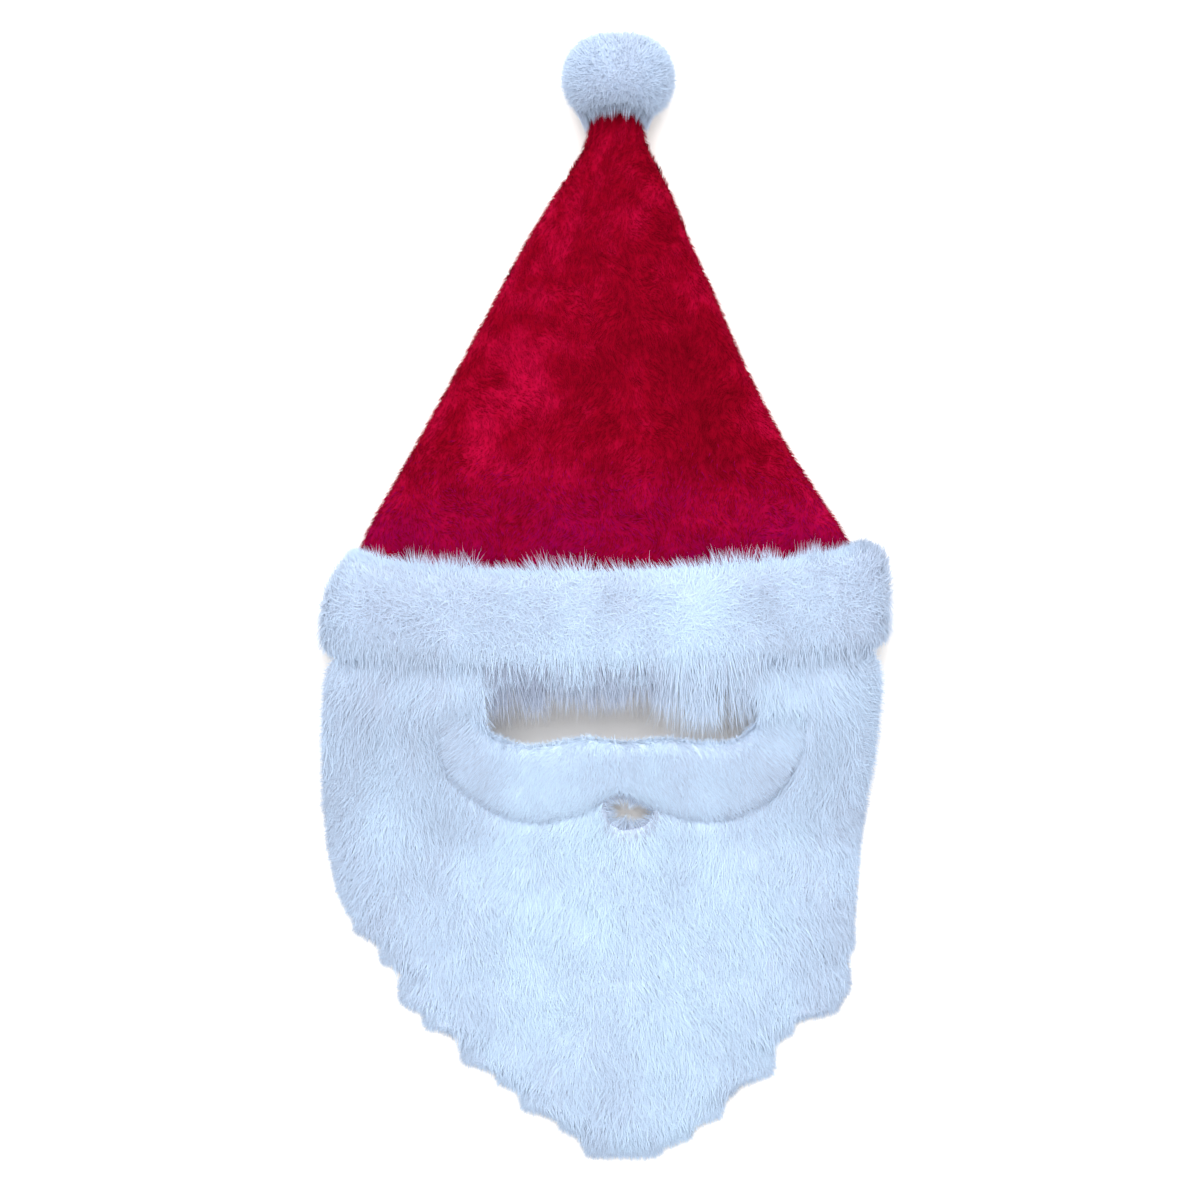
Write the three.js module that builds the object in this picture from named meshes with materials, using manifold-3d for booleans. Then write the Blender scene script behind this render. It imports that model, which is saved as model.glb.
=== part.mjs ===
// Santa hat with a fur beard, laid flat on its back.
// Millimetres: X across the hat, Y from the beard's tip towards the pompom, Z up from the plane it rests on.

import * as THREE from "three";
import { mergeVertices } from "three/addons/utils/BufferGeometryUtils.js";
import Module from "manifold-3d";

const { clamp, lerp, smoothstep, degToRad } = THREE.MathUtils;
const wasm = await Module();
wasm.setup();

// Walls and clearances
const GAP = 0.3;
const CUT_GAP = 0.5; // around fur that is cut back for a neighbour
const CLOTH = 3; // plush with its short nap, and the beard's backing

// Lying section of the crown: flat underneath, creased at the sides, domed above
const SIDES_ROUND_CROWN = 26;
const SIDE_SHARE = 0.4;
const SECTION_SQUARE = 0.8;
const DOME = 0.9;
const UNDERSIDE_ROUND = 0.5;
const UNDERSIDE_REACH = 1.25;
const CROWN_TIP_Y = 254;

// A row for each section of the crown, from the hem up to the gathered tip
const crownRows = [
  { y: -32, centre: 0.5, half: 137, low: 9, height: 30 },
  { y: -8, centre: 0, half: 135.5, low: 9, height: 31 },
  { y: 12, centre: -0.8, half: 131, low: 8.5, height: 33 },
  { y: 30, centre: -2.2, half: 123.5, low: 6, height: 36 },
  { y: 51, centre: -3, half: 112, low: 2, height: 38 },
  { y: 77, centre: -3.4, half: 98, low: 0, height: 37 },
  { y: 103, centre: -2.9, half: 84.5, low: 0, height: 35 },
  { y: 129, centre: -2.1, half: 71.2, low: 0, height: 33 },
  { y: 155, centre: -0.5, half: 58.8, low: 0, height: 31 },
  { y: 181, centre: 0.2, half: 46, low: 0, height: 29 },
  { y: 207, centre: 3.2, half: 32.8, low: 2, height: 27 },
  { y: 222, centre: 4.4, half: 24.5, low: 5, height: 24 },
  { y: 233, centre: 4.7, half: 17.4, low: 8, height: 21 },
  { y: 246, centre: 4.6, half: 15.5, low: 10, height: 19 },
];

// Soft hollows pressed into the upper side of the crown
const crownDents = [
  { x: -50, y: 113, across: 24, along: 44, depth: 3.5 },
  { x: -16, y: 61, across: 13, along: 22, depth: 3 },
  { x: 44, y: 96, across: 16, along: 62, depth: 3.5 },
  { x: 4, y: 186, across: 11, along: 38, depth: 2.5 },
];

// Fur band round the hem: it sags in the middle and is turned a little
const SIDES_ROUND_BAND = 32;
const HEM_HALF = 137;
const BAND_CENTRE_Y = -8;
const BAND_HEIGHT = 54;
const BAND_SLANT = 0.018;
const BAND_SAG = 8;
const BAND_EDGE = 2;
const BAND_FRONT = 10;
const BAND_SIDE = 10.4;
const BAND_BACK = 8.7;
const BAND_ROUND_LEFT = 2.2;
const BAND_ROUND_RIGHT = 8;
const BOW_END_Y = 115;

// A row for each course of locks on the band; level runs from -1 at its lower edge to 1 at its upper
const bandCourses = [
  { level: 0.42, toward: 1, reach: 19, half: 13, thick: 4 },
  { level: 0.1, toward: -1, reach: 24, half: 13.5, thick: 4.5 },
  { level: -0.45, toward: -1, reach: 21, half: 13, thick: 4.5 },
];
const BAND_LOCK = { pitch: 25, sunk: 0.5, stand: 0.6 }; // sunk and stand are shares of a lock's thickness

// Beard: a backing sheet that comes down from the hem to the rest plane, covered in locks
const BEARD_TOP_Y = BAND_CENTRE_Y - 24;
const BEARD_DROP = 105;
const BACKING_COLUMNS = 10;

// A row for each section of the backing
const backingRows = [
  { y: -32, left: -130, right: 130 },
  { y: -50, left: -140, right: 140 },
  { y: -68, left: -140, right: 139 },
  { y: -92, left: -141, right: 134 },
  { y: -117, left: -139, right: 128 },
  { y: -141, left: -135, right: 125 },
  { y: -160, left: -128, right: 123 },
  { y: -179, left: -113, right: 120 },
  { y: -198, left: -97, right: 113 },
  { y: -212, left: -88, right: 102 },
  { y: -226, left: -73, right: 84 },
  { y: -240, left: -54, right: 70 },
  { y: -254, left: -38, right: 57 },
  { y: -268, left: -18, right: 40 },
  { y: -276, left: -4, right: 30 },
];
const BACKING_SIDE = 0.97; // share of the hem's half width beyond which the backing stays level
const BEARD_PILE = 9;
const BEARD_LOCK = { pitch: 29, step: 31, reach: 42, half: 15.5, thick: 4.5, splay: 0.0016, sunk: 1 };
const BEARD_LOCKS_BELOW_TOP = 12;

// A row for each lock along the beard's scalloped edge, by its tip; lean is from straight down, +X positive
const edgeLocks = [
  { x: -143, y: -84, lean: -2, half: 8 },
  { x: -143.5, y: -108, lean: -3, half: 8 },
  { x: -142.5, y: -131, lean: -4, half: 8 },
  { x: -140, y: -153, lean: -9, half: 8 },
  { x: -133, y: -174, lean: -15, half: 9 },
  { x: -120, y: -189, lean: -18, half: 10 },
  { x: -108, y: -205, lean: -19, half: 11 },
  { x: -97, y: -215, lean: -18, half: 11 },
  { x: -81, y: -232, lean: -16, half: 12 },
  { x: -60, y: -248, lean: -14, half: 12 },
  { x: -39, y: -269.5, lean: -12, half: 11 },
  { x: -23, y: -277, lean: -10, half: 12 },
  { x: -7, y: -293, lean: -8, half: 13 },
  { x: 9, y: -292.5, lean: 0, half: 14 },
  { x: 25, y: -292.5, lean: 6, half: 13 },
  { x: 42, y: -283, lean: 8, half: 12 },
  { x: 58, y: -270, lean: 10, half: 12 },
  { x: 69, y: -256, lean: 8, half: 11 },
  { x: 84, y: -253, lean: 6, half: 11 },
  { x: 91, y: -232, lean: 10, half: 11 },
  { x: 109, y: -222, lean: 6, half: 12 },
  { x: 122.5, y: -211, lean: 5, half: 11 },
  { x: 125, y: -188, lean: 3, half: 8 },
  { x: 126.5, y: -158, lean: 2, half: 8 },
  { x: 128.5, y: -128, lean: 2, half: 8 },
  { x: 131, y: -104, lean: 2, half: 8 },
  { x: 136, y: -84, lean: 2, half: 8 },
];
const EDGE_REACH = 44;

// Eye slot and mouth hole, cut right through the beard
const SLOT = { x: 7.5, y: -57, width: 142, height: 38, corner: 15 };
const MOUTH = { x: 11, y: -111.5, halfX: 12, halfY: 9.5 };
const CUT_DEPTH = 200;
const REST_PLANE = { width: 400, length: 700 };
const FUR_MARGIN = 4; // bare strip left round the slot

// Moustache: a row for each station along the raised strip, from its left end to its right
const moustacheRows = [
  { x: -75, y: -50, half: 8 },
  { x: -74, y: -67, half: 12 },
  { x: -68, y: -83, half: 15.5 },
  { x: -47, y: -95, half: 18 },
  { x: -21, y: -95.5, half: 19.5 },
  { x: 7, y: -90, half: 15 },
  { x: 36, y: -94, half: 19.5 },
  { x: 67, y: -93, half: 17.5 },
  { x: 86, y: -80, half: 14.5 },
  { x: 92, y: -64, half: 12 },
  { x: 91, y: -49, half: 8 },
];
const MOUSTACHE_STATIONS = 30;
const MOUSTACHE_HEIGHT = 10;
const MOUSTACHE_ROUND = 0.7;
const MOUSTACHE_SIDES = 8;
const MOUSTACHE_END = 7;
const MOUSTACHE_FULL = 15; // half width from which the strip has its full height

// Pompom at the tip
const POMPOM = { x: 5.8, y: 269, z: 23.5, halfX: 31.3, halfY: 24.6, halfZ: 26.5 };
const POMPOM_HEAD = 0.89;
const POMPOM_TUFTS = 30;
const POMPOM_TUFT = { half: 11, thick: 11, root: 0.66 };

// Lengthwise shape of one lock: share of its length, of its width and of its rise
const lockRings = [
  { along: 0, width: 0.75, rise: 0 },
  { along: 0.68, width: 1, rise: 1 },
];
const LOCK_TIP_RISE = 0.35;
const LOCK_TIP_GROWTH = 0.1; // share of its length for each mm of clearance
const LOCK_SIDES = 4;
const SCATTER = { place: 0.03, length: 0.15, width: 0.1, slope: 0.06, tuft: 0.02 };
const BAND_START = 12;
const BEARD_START = 5;
const POMPOM_START = 9;

// Colours
const RED_PLUSH = 0x9a0524;
const WHITE_FUR = 0xd3e2f2;
const SHORT_NAP = 0xc8daee;

// Repeatable run of numbers from -1 to 1, one run for each furry piece
function variation(start) {
  let state = start;
  return () => {
    state = (Math.imul(state, 1664525) + 1013904223) >>> 0;
    return state / 2147483648 - 1;
  };
}

// Closed solid from points and triangles, turned so that its faces point outwards
function solidFrom(points, triangles) {
  let volume = 0;
  for (const [a, b, c] of triangles) {
    volume += points[a].dot(new THREE.Vector3().crossVectors(points[b], points[c]));
  }
  const turned = volume < 0 ? triangles.map(([a, b, c]) => [a, c, b]) : triangles;
  const geometry = new THREE.BufferGeometry().setFromPoints(points);
  geometry.setIndex(turned.flat());
  return solidOf(geometry);
}

function solidOf(geometry) {
  const bare = geometry.clone();
  bare.deleteAttribute("normal");
  bare.deleteAttribute("uv");
  const merged = mergeVertices(bare);
  return new wasm.Manifold(
    new wasm.Mesh({
      numProp: 3,
      vertProperties: new Float32Array(merged.attributes.position.array),
      triVerts: new Uint32Array(merged.index.array),
    }),
  );
}

// Connected skins of a fused solid, each as a list of triangles
function skinsOf(triVerts, vertexCount) {
  const parent = Array.from({ length: vertexCount }, (_, i) => i);
  const rootOf = (i) => {
    while (parent[i] !== i) {
      parent[i] = parent[parent[i]];
      i = parent[i];
    }
    return i;
  };
  const skins = new Map();
  for (let t = 0; t < triVerts.length; t += 3) {
    parent[rootOf(triVerts[t])] = rootOf(triVerts[t + 1]);
    parent[rootOf(triVerts[t])] = rootOf(triVerts[t + 2]);
  }
  for (let t = 0; t < triVerts.length; t += 3) {
    const root = rootOf(triVerts[t]);
    if (!skins.has(root)) skins.set(root, []);
    skins.get(root).push(triVerts[t], triVerts[t + 1], triVerts[t + 2]);
  }
  return [...skins.values()];
}

// The main outer skin alone: pockets shut in between locks are filled, and clipped ends dropped
function geometryOf(solid) {
  const { vertProperties, triVerts, numVert } = solid.getMesh();
  const skins = skinsOf(triVerts, numVert).sort((a, b) => b.length - a.length);
  const geometry = new THREE.BufferGeometry();
  geometry.setAttribute("position", new THREE.BufferAttribute(vertProperties, 3));
  geometry.setIndex(skins[0]);
  const skin = mergeVertices(geometry.toNonIndexed());
  skin.computeVertexNormals();
  return skin;
}

function joined(solids) {
  return solids.reduce((whole, next) => whole.add(next));
}

// Triangles between neighbouring rings of the same number of points
function stripTriangles(ringA, ringB, sides) {
  const triangles = [];
  for (let i = 0; i < sides; i += 1) {
    const next = (i + 1) % sides;
    triangles.push([ringA + i, ringA + next, ringB + next], [ringA + i, ringB + next, ringB + i]);
  }
  return triangles;
}

// Rings in a row, closed to a point at each end
function cappedLoft(startPoint, rings, endPoint) {
  const sides = rings[0].length;
  const points = [...rings.flat(), startPoint, endPoint];
  const start = points.length - 2;
  const end = points.length - 1;
  const lastRing = (rings.length - 1) * sides;
  const triangles = [];
  for (let r = 0; r < rings.length - 1; r += 1) {
    triangles.push(...stripTriangles(r * sides, (r + 1) * sides, sides));
  }
  for (let i = 0; i < sides; i += 1) {
    const next = (i + 1) % sides;
    triangles.push([start, next, i], [end, lastRing + i, lastRing + next]);
  }
  return solidFrom(points, triangles);
}

// Rings that follow each other round a loop
function loopLoft(rings) {
  const sides = rings[0].length;
  const triangles = rings.flatMap((_, r) =>
    stripTriangles(r * sides, ((r + 1) % rings.length) * sides, sides),
  );
  return solidFrom(rings.flat(), triangles);
}

// Sheet between an upper and a lower grid of points
function sheetLoft(columns, rows, upper, lower) {
  const points = [];
  const triangles = [];
  const width = columns + 1;
  const layer = width * (rows + 1);
  const at = (i, j, below) => j * width + i + below * layer;
  for (const place of [upper, lower]) {
    for (let j = 0; j <= rows; j += 1) {
      for (let i = 0; i <= columns; i += 1) points.push(place(i, j));
    }
  }
  const quad = (a, b, c, d) => triangles.push([a, b, c], [a, c, d]);
  for (let j = 0; j < rows; j += 1) {
    for (let i = 0; i < columns; i += 1) {
      quad(at(i, j, 0), at(i + 1, j, 0), at(i + 1, j + 1, 0), at(i, j + 1, 0));
      quad(at(i, j, 1), at(i, j + 1, 1), at(i + 1, j + 1, 1), at(i + 1, j, 1));
    }
    quad(at(0, j, 0), at(0, j + 1, 0), at(0, j + 1, 1), at(0, j, 1));
    quad(at(columns, j, 0), at(columns, j, 1), at(columns, j + 1, 1), at(columns, j + 1, 0));
  }
  for (let i = 0; i < columns; i += 1) {
    quad(at(i, 0, 0), at(i, 0, 1), at(i + 1, 0, 1), at(i + 1, 0, 0));
    quad(at(i, rows, 0), at(i + 1, rows, 0), at(i + 1, rows, 1), at(i, rows, 1));
  }
  return solidFrom(points, triangles);
}

// One tapered lock. frameAt gives its middle, its sideways and its upward direction at a share of its
// length, with the rise wanted there; grow makes it fatter for a clearance cut.
function lock(frameAt, half, thick, grow = 0) {
  const rings = lockRings.map(({ along, width, rise }) => {
    const { middle, across, up } = frameAt(along, rise);
    return Array.from({ length: LOCK_SIDES }, (_, i) => {
      const turn = Math.PI / 2 + (2 * Math.PI * i) / LOCK_SIDES;
      return middle
        .clone()
        .addScaledVector(across, (half * width + grow) * Math.cos(turn))
        .addScaledVector(up, (thick * width + grow) * Math.sin(turn));
    });
  });
  const root = frameAt(0, 0).middle;
  return cappedLoft(root, rings, frameAt(1 + grow * LOCK_TIP_GROWTH, LOCK_TIP_RISE).middle);
}

function rowAt(rows, y) {
  const upward = rows[1].y > rows[0].y;
  const later = rows.findIndex((row) => (upward ? row.y >= y : row.y <= y));
  const high = later < 0 ? rows.length - 1 : Math.max(later, 1);
  const a = rows[high - 1];
  const b = rows[high];
  const share = clamp((y - a.y) / (b.y - a.y), 0, 1);
  return Object.fromEntries(Object.keys(a).map((key) => [key, lerp(a[key], b[key], share)]));
}

// How far the band's sag and slant carry a point along Y
function bow(x, y) {
  const fade = 1 - smoothstep(y, BAND_CENTRE_Y + BAND_HEIGHT / 2, BOW_END_Y);
  return fade * (BAND_SLANT * x + BAND_SAG * (x / HEM_HALF) ** 2);
}

function dentDepth(x, y) {
  return crownDents.reduce((sum, dent) => {
    const reach = ((x - dent.x) / dent.across) ** 2 + ((y - dent.y) / dent.along) ** 2;
    return sum + dent.depth * Math.exp(-reach);
  }, 0);
}

// Point of the crown's surface, moved inwards by inset; angle 0 is the +X crease, a quarter turn the top
function crownPoint(y, angle, inset) {
  const row = rowAt(crownRows, y);
  const c = Math.cos(angle);
  const s = Math.sin(angle);
  const side = row.low + SIDE_SHARE * row.height;
  const top = row.low + row.height - inset;
  const x = row.centre + (row.half - inset) * Math.sign(c) * Math.abs(c) ** SECTION_SQUARE;
  const up = Math.max(s, 0);
  const down = Math.min(1, UNDERSIDE_REACH * Math.max(-s, 0) ** UNDERSIDE_ROUND);
  const above = side + (top - side) * up ** DOME - dentDepth(x, y) * up;
  const below = side - (side - row.low - inset) * down;
  return new THREE.Vector3(x, y + bow(x, y), s >= 0 ? above : below);
}

function crownRing(y, inset) {
  return Array.from({ length: SIDES_ROUND_CROWN }, (_, i) =>
    crownPoint(y, (2 * Math.PI * i) / SIDES_ROUND_CROWN, inset),
  );
}

function crownEnd(inset) {
  const last = crownRows.at(-1);
  return new THREE.Vector3(last.centre, CROWN_TIP_Y - inset, last.low + last.height / 2);
}

// Hollow cone, open at the hem and gathered shut at the tip
function makeCrown() {
  const outer = crownRows.map(({ y }) => crownRing(y, 0)).reverse();
  const inner = crownRows.map(({ y }) => crownRing(y, CLOTH));
  return cappedLoft(crownEnd(0), [...outer, ...inner], crownEnd(CLOTH));
}

// The space that the crown fills, hollow and all, grown by a clearance
function crownRoom(grow) {
  const rings = crownRows.map(({ y }) => crownRing(y, -grow));
  rings[0] = rings[0].map((point) => point.clone().setY(point.y - grow));
  const first = crownRows[0];
  const start = new THREE.Vector3(first.centre, first.y - grow, first.low + first.height / 2);
  return cappedLoft(start, rings, crownEnd(-grow));
}

// Everything below the plane that the hat rests on, cut away so that the fur lies flat there
function belowRestPlane() {
  const slab = new THREE.BoxGeometry(REST_PLANE.width, REST_PLANE.length, CUT_DEPTH);
  slab.translate(0, 0, -CUT_DEPTH / 2);
  return solidOf(slab);
}

// Place on the band: level from its lower edge to its upper, out from the hem's cloth
function bandFrame(angle, level, out) {
  const y = BAND_CENTRE_Y + (level * BAND_HEIGHT) / 2;
  const step = 0.02;
  const ahead = crownPoint(y, angle + step, -GAP);
  const behind = crownPoint(y, angle - step, -GAP);
  const across = new THREE.Vector3(ahead.x - behind.x, 0, ahead.z - behind.z).normalize();
  const up = new THREE.Vector3(across.z, 0, -across.x);
  const middle = crownPoint(y, angle, -GAP).addScaledVector(up, out);
  return { middle, across, up };
}

// Thickness of the band's fur: deep in front and pressed thin underneath.
// Both edges are rounded, most on the left.
function bandDepth(angle, level) {
  const { up } = bandFrame(angle, 0, 0);
  const full = up.z > 0 ? lerp(BAND_SIDE, BAND_FRONT, up.z) : lerp(BAND_SIDE, BAND_BACK, -up.z);
  const roundness = lerp(BAND_ROUND_LEFT, BAND_ROUND_RIGHT, (1 + Math.cos(angle)) / 2);
  const round = Math.sqrt(Math.max(0, 1 - Math.abs(level) ** roundness));
  return BAND_EDGE + (full - BAND_EDGE) * round;
}

// The band before it is fitted to its neighbours, grown by a clearance
function bandBody(grow) {
  const vary = variation(BAND_START);
  const levels = [-1, -0.75, 0, 0.75, 1];
  const rings = Array.from({ length: SIDES_ROUND_BAND }, (_, i) => {
    const angle = (2 * Math.PI * i) / SIDES_ROUND_BAND;
    const inner = [1, 0, -1].map((level) => bandFrame(angle, level, -grow).middle);
    const outer = levels.map((level) => bandFrame(angle, level, bandDepth(angle, level) + grow).middle);
    return [...outer, ...inner];
  });
  const parts = [loopLoft(rings)];
  const perSide = Math.round((2 * HEM_HALF) / BAND_LOCK.pitch);
  for (const [course, { level, toward, reach, half, thick }] of bandCourses.entries()) {
    for (let i = -1; i <= perSide + 1; i += 1) {
      const stagger = course % 2 ? 0.5 : 0;
      const share = clamp((2 * (i + stagger)) / perSide - 1 + SCATTER.place * vary(), -1, 1);
      const angle = Math.acos(Math.sign(share) * Math.abs(share) ** (1 / SECTION_SQUARE));
      const length = (reach * (1 + SCATTER.length * vary()) * 2) / BAND_HEIGHT;
      const size = half * (1 + SCATTER.width * vary());
      const frameAt = (along, rise) => {
        const here = level + toward * length * along;
        const proud = (rise * BAND_LOCK.stand - BAND_LOCK.sunk) * thick;
        const out = bandDepth(angle, clamp(here, -1, 1)) + proud;
        return bandFrame(angle, here, out);
      };
      parts.push(lock(frameAt, size, thick, grow));
    }
  }
  return joined(parts);
}

function makeBand() {
  return bandBody(0).subtract(crownRoom(GAP)).subtract(belowRestPlane());
}

// Height of the backing's underside: level with the hem's front at the top, then down to the rest plane
function backingLow(x, y) {
  const hem = crownRows[0];
  const out = clamp(Math.abs(x - hem.centre) / hem.half, 0, BACKING_SIDE) ** (1 / SECTION_SQUARE);
  const side = hem.low + SIDE_SHARE * hem.height;
  const front = side + (hem.low + hem.height - side) * Math.sqrt(1 - out * out) ** DOME;
  const drop = (BEARD_TOP_Y + bow(x, BEARD_TOP_Y) - y) / BEARD_DROP;
  return (front - CLOTH) * (1 - smoothstep(drop, 0, 1));
}

// Sheet that follows the backing, from one height above its underside to another
function backingLayer(fromHeight, toHeight) {
  const place = (i, j, height) => {
    const { y, left, right } = backingRows[j];
    const x = lerp(left, right, i / BACKING_COLUMNS);
    const level = y - GAP + bow(x, BEARD_TOP_Y) * (1 - smoothstep(-y, -BEARD_TOP_Y, BEARD_DROP));
    return new THREE.Vector3(x, level, backingLow(x, level) + height);
  };
  return sheetLoft(
    BACKING_COLUMNS,
    backingRows.length - 1,
    (i, j) => place(i, j, toHeight),
    (i, j) => place(i, j, fromHeight),
  );
}

// Lock that lies along the beard from its root, down and splayed by slope
function beardLock(x, y, slope, reach, half, thick) {
  const frameAt = (along, rise) => {
    const px = x + slope * reach * along;
    const py = y - reach * along;
    const height = backingLow(px, py) + CLOTH - BEARD_LOCK.sunk + rise * (BEARD_PILE - thick);
    return {
      middle: new THREE.Vector3(px, py, height),
      across: new THREE.Vector3(1, slope, 0).normalize(),
      up: new THREE.Vector3(0, 0, 1),
    };
  };
  return lock(frameAt, half, thick);
}

// True where the moustache, the slot or the mouth leaves no room for a lock's root
function isBare(x, y, around) {
  const besideSlot = Math.abs(x - SLOT.x) > SLOT.width / 2 + around;
  const belowSlot = y < SLOT.y - SLOT.height / 2 - around;
  const onStrip = moustacheRows.some((row) => Math.hypot(x - row.x, y - row.y) < row.half + around);
  const inMouth = Math.hypot(x - MOUTH.x, y - MOUTH.y) < MOUTH.halfX + around;
  return !(besideSlot || belowSlot) || onStrip || inMouth;
}

function beardLocks() {
  const vary = variation(BEARD_START);
  const parts = [];
  const { pitch, step, reach, half, thick, splay } = BEARD_LOCK;
  const lowest = backingRows.at(-1).y;
  for (let row = 0, y = BEARD_TOP_Y - BEARD_LOCKS_BELOW_TOP; y - reach > lowest; row += 1, y -= step) {
    const { left, right } = rowAt(backingRows, y);
    const count = Math.round((right - left) / pitch);
    for (let i = 0; i < count; i += 1) {
      const stagger = row % 2 ? 0.3 : 0.7;
      const x = lerp(left, right, (i + stagger + SCATTER.place * vary()) / count);
      const length = reach * (1 + SCATTER.length * vary());
      const slope = x * splay + SCATTER.slope * vary();
      const tip = rowAt(backingRows, y - length);
      const tipX = x + slope * length;
      const size = half * (1 + SCATTER.width * vary());
      if (isBare(x, y, FUR_MARGIN) || tipX < tip.left || tipX > tip.right) continue;
      parts.push(beardLock(x, y, slope, length, size, thick));
    }
  }
  for (const { x, y, lean, half: size } of edgeLocks) {
    const slope = Math.tan(degToRad(lean));
    parts.push(beardLock(x - slope * EDGE_REACH, y + EDGE_REACH, slope, EDGE_REACH, size, thick));
  }
  return parts;
}

function slotCut() {
  const { x, y, width, height, corner } = SLOT;
  const right = x + width / 2;
  const top = y + height / 2;
  const outline = new THREE.Shape();
  outline.absarc(right - corner, top - corner, corner, 0, Math.PI / 2);
  outline.absarc(x - width / 2 + corner, top - corner, corner, Math.PI / 2, Math.PI);
  outline.absarc(x - width / 2 + corner, y - height / 2 + corner, corner, Math.PI, Math.PI * 1.5);
  outline.absarc(right - corner, y - height / 2 + corner, corner, Math.PI * 1.5, Math.PI * 2);
  return throughCut(outline);
}

function mouthCut() {
  const outline = new THREE.Shape();
  outline.absellipse(MOUTH.x, MOUTH.y, MOUTH.halfX, MOUTH.halfY, 0, Math.PI * 2);
  return throughCut(outline);
}

function throughCut(outline) {
  const cut = new THREE.ExtrudeGeometry(outline, { depth: CUT_DEPTH, bevelEnabled: false, curveSegments: 6 });
  cut.translate(0, 0, -CUT_DEPTH / 2);
  return solidOf(cut);
}

// Raised strip that curls round the lower side of the eye slot, seated on the backing
function makeMoustache(grow) {
  const stations = moustacheRows.map((row) => new THREE.Vector3(row.x, row.y, row.half));
  const line = new THREE.CatmullRomCurve3(stations);
  const place = (middle, across, share, height) => {
    const x = middle.x + across.x * share;
    const y = middle.y + across.y * share;
    return new THREE.Vector3(x, y, backingLow(x, y) + CLOTH + GAP + height);
  };
  const tangentAt = (share) => line.getTangent(share).setZ(0).normalize();
  const rings = Array.from({ length: MOUSTACHE_STATIONS + 1 }, (_, i) => {
    const share = i / MOUSTACHE_STATIONS;
    const middle = line.getPoint(share);
    const along = tangentAt(share);
    const across = new THREE.Vector3(-along.y, along.x, 0);
    const half = middle.z + grow;
    const dome = Array.from({ length: MOUSTACHE_SIDES + 1 }, (_, k) => {
      const turn = (Math.PI * k) / MOUSTACHE_SIDES;
      const fullness = Math.min(1, Math.sqrt(middle.z / MOUSTACHE_FULL));
      const rise = (MOUSTACHE_HEIGHT * fullness + grow) * Math.sin(turn) ** MOUSTACHE_ROUND;
      return place(middle, across, half * Math.cos(turn), rise - grow);
    });
    return [...dome, place(middle, across, 0, -grow)];
  });
  const endPoint = (share, way) => {
    const middle = line.getPoint(share).addScaledVector(tangentAt(share), way * (MOUSTACHE_END + grow));
    return place(middle, new THREE.Vector3(), 0, MOUSTACHE_HEIGHT / 3);
  };
  return cappedLoft(endPoint(0, -1), rings, endPoint(1, 1));
}

function makeBeard() {
  const room = makeMoustache(CUT_GAP);
  return joined([backingLayer(0, CLOTH), ...beardLocks()])
    .subtract(backingLayer(-CUT_DEPTH, 0))
    .subtract(slotCut())
    .subtract(mouthCut())
    .subtract(room)
    .subtract(bandBody(CUT_GAP))
    .subtract(crownRoom(GAP))
    .subtract(belowRestPlane());
}

// Squashed ball covered in tufts that stand out from its middle
function makePompom() {
  const vary = variation(POMPOM_START);
  const { x, y, z, halfX, halfY, halfZ } = POMPOM;
  const centre = new THREE.Vector3(x, y, z);
  const halves = new THREE.Vector3(halfX, halfY, halfZ);
  const head = new THREE.IcosahedronGeometry(POMPOM_HEAD, 2);
  head.scale(halfX, halfY, halfZ);
  head.translate(x, y, z);
  const parts = [solidOf(head)];
  const goldenTurn = Math.PI * (3 - Math.sqrt(5));
  for (let i = 0; i < POMPOM_TUFTS; i += 1) {
    const height = 1 - (2 * (i + 0.5)) / POMPOM_TUFTS;
    const round = Math.sqrt(1 - height * height);
    const out = new THREE.Vector3(round * Math.cos(i * goldenTurn), height, round * Math.sin(i * goldenTurn));
    const reach = 1 + SCATTER.tuft * vary();
    const across = new THREE.Vector3(-out.z, 0, out.x).normalize();
    const up = new THREE.Vector3().crossVectors(out, across);
    const frameAt = (along) => {
      const share = lerp(POMPOM_TUFT.root, reach, along);
      const middle = out.clone().multiply(halves).multiplyScalar(share).add(centre);
      return { middle, across, up };
    };
    parts.push(lock(frameAt, POMPOM_TUFT.half, POMPOM_TUFT.thick));
  }
  return joined(parts).subtract(crownRoom(CUT_GAP)).subtract(belowRestPlane());
}

function addPiece(group, name, solid, colour, roughness) {
  const finish = new THREE.MeshStandardMaterial({ color: colour, roughness, metalness: 0 });
  const mesh = new THREE.Mesh(geometryOf(solid), finish);
  mesh.name = name;
  group.add(mesh);
}

const hat = new THREE.Group();
addPiece(hat, "crown", makeCrown(), RED_PLUSH, 0.9);
addPiece(hat, "band", makeBand(), WHITE_FUR, 0.95);
addPiece(hat, "beard", makeBeard(), WHITE_FUR, 0.95);
addPiece(hat, "moustache", makeMoustache(0), SHORT_NAP, 0.9);
addPiece(hat, "pompom", makePompom(), WHITE_FUR, 0.95);

// The origin is on the rest plane, under the middle of the whole hat
const middle = new THREE.Box3().setFromObject(hat).getCenter(new THREE.Vector3());
hat.position.set(-middle.x, -middle.y, 0);

export default hat;
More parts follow.
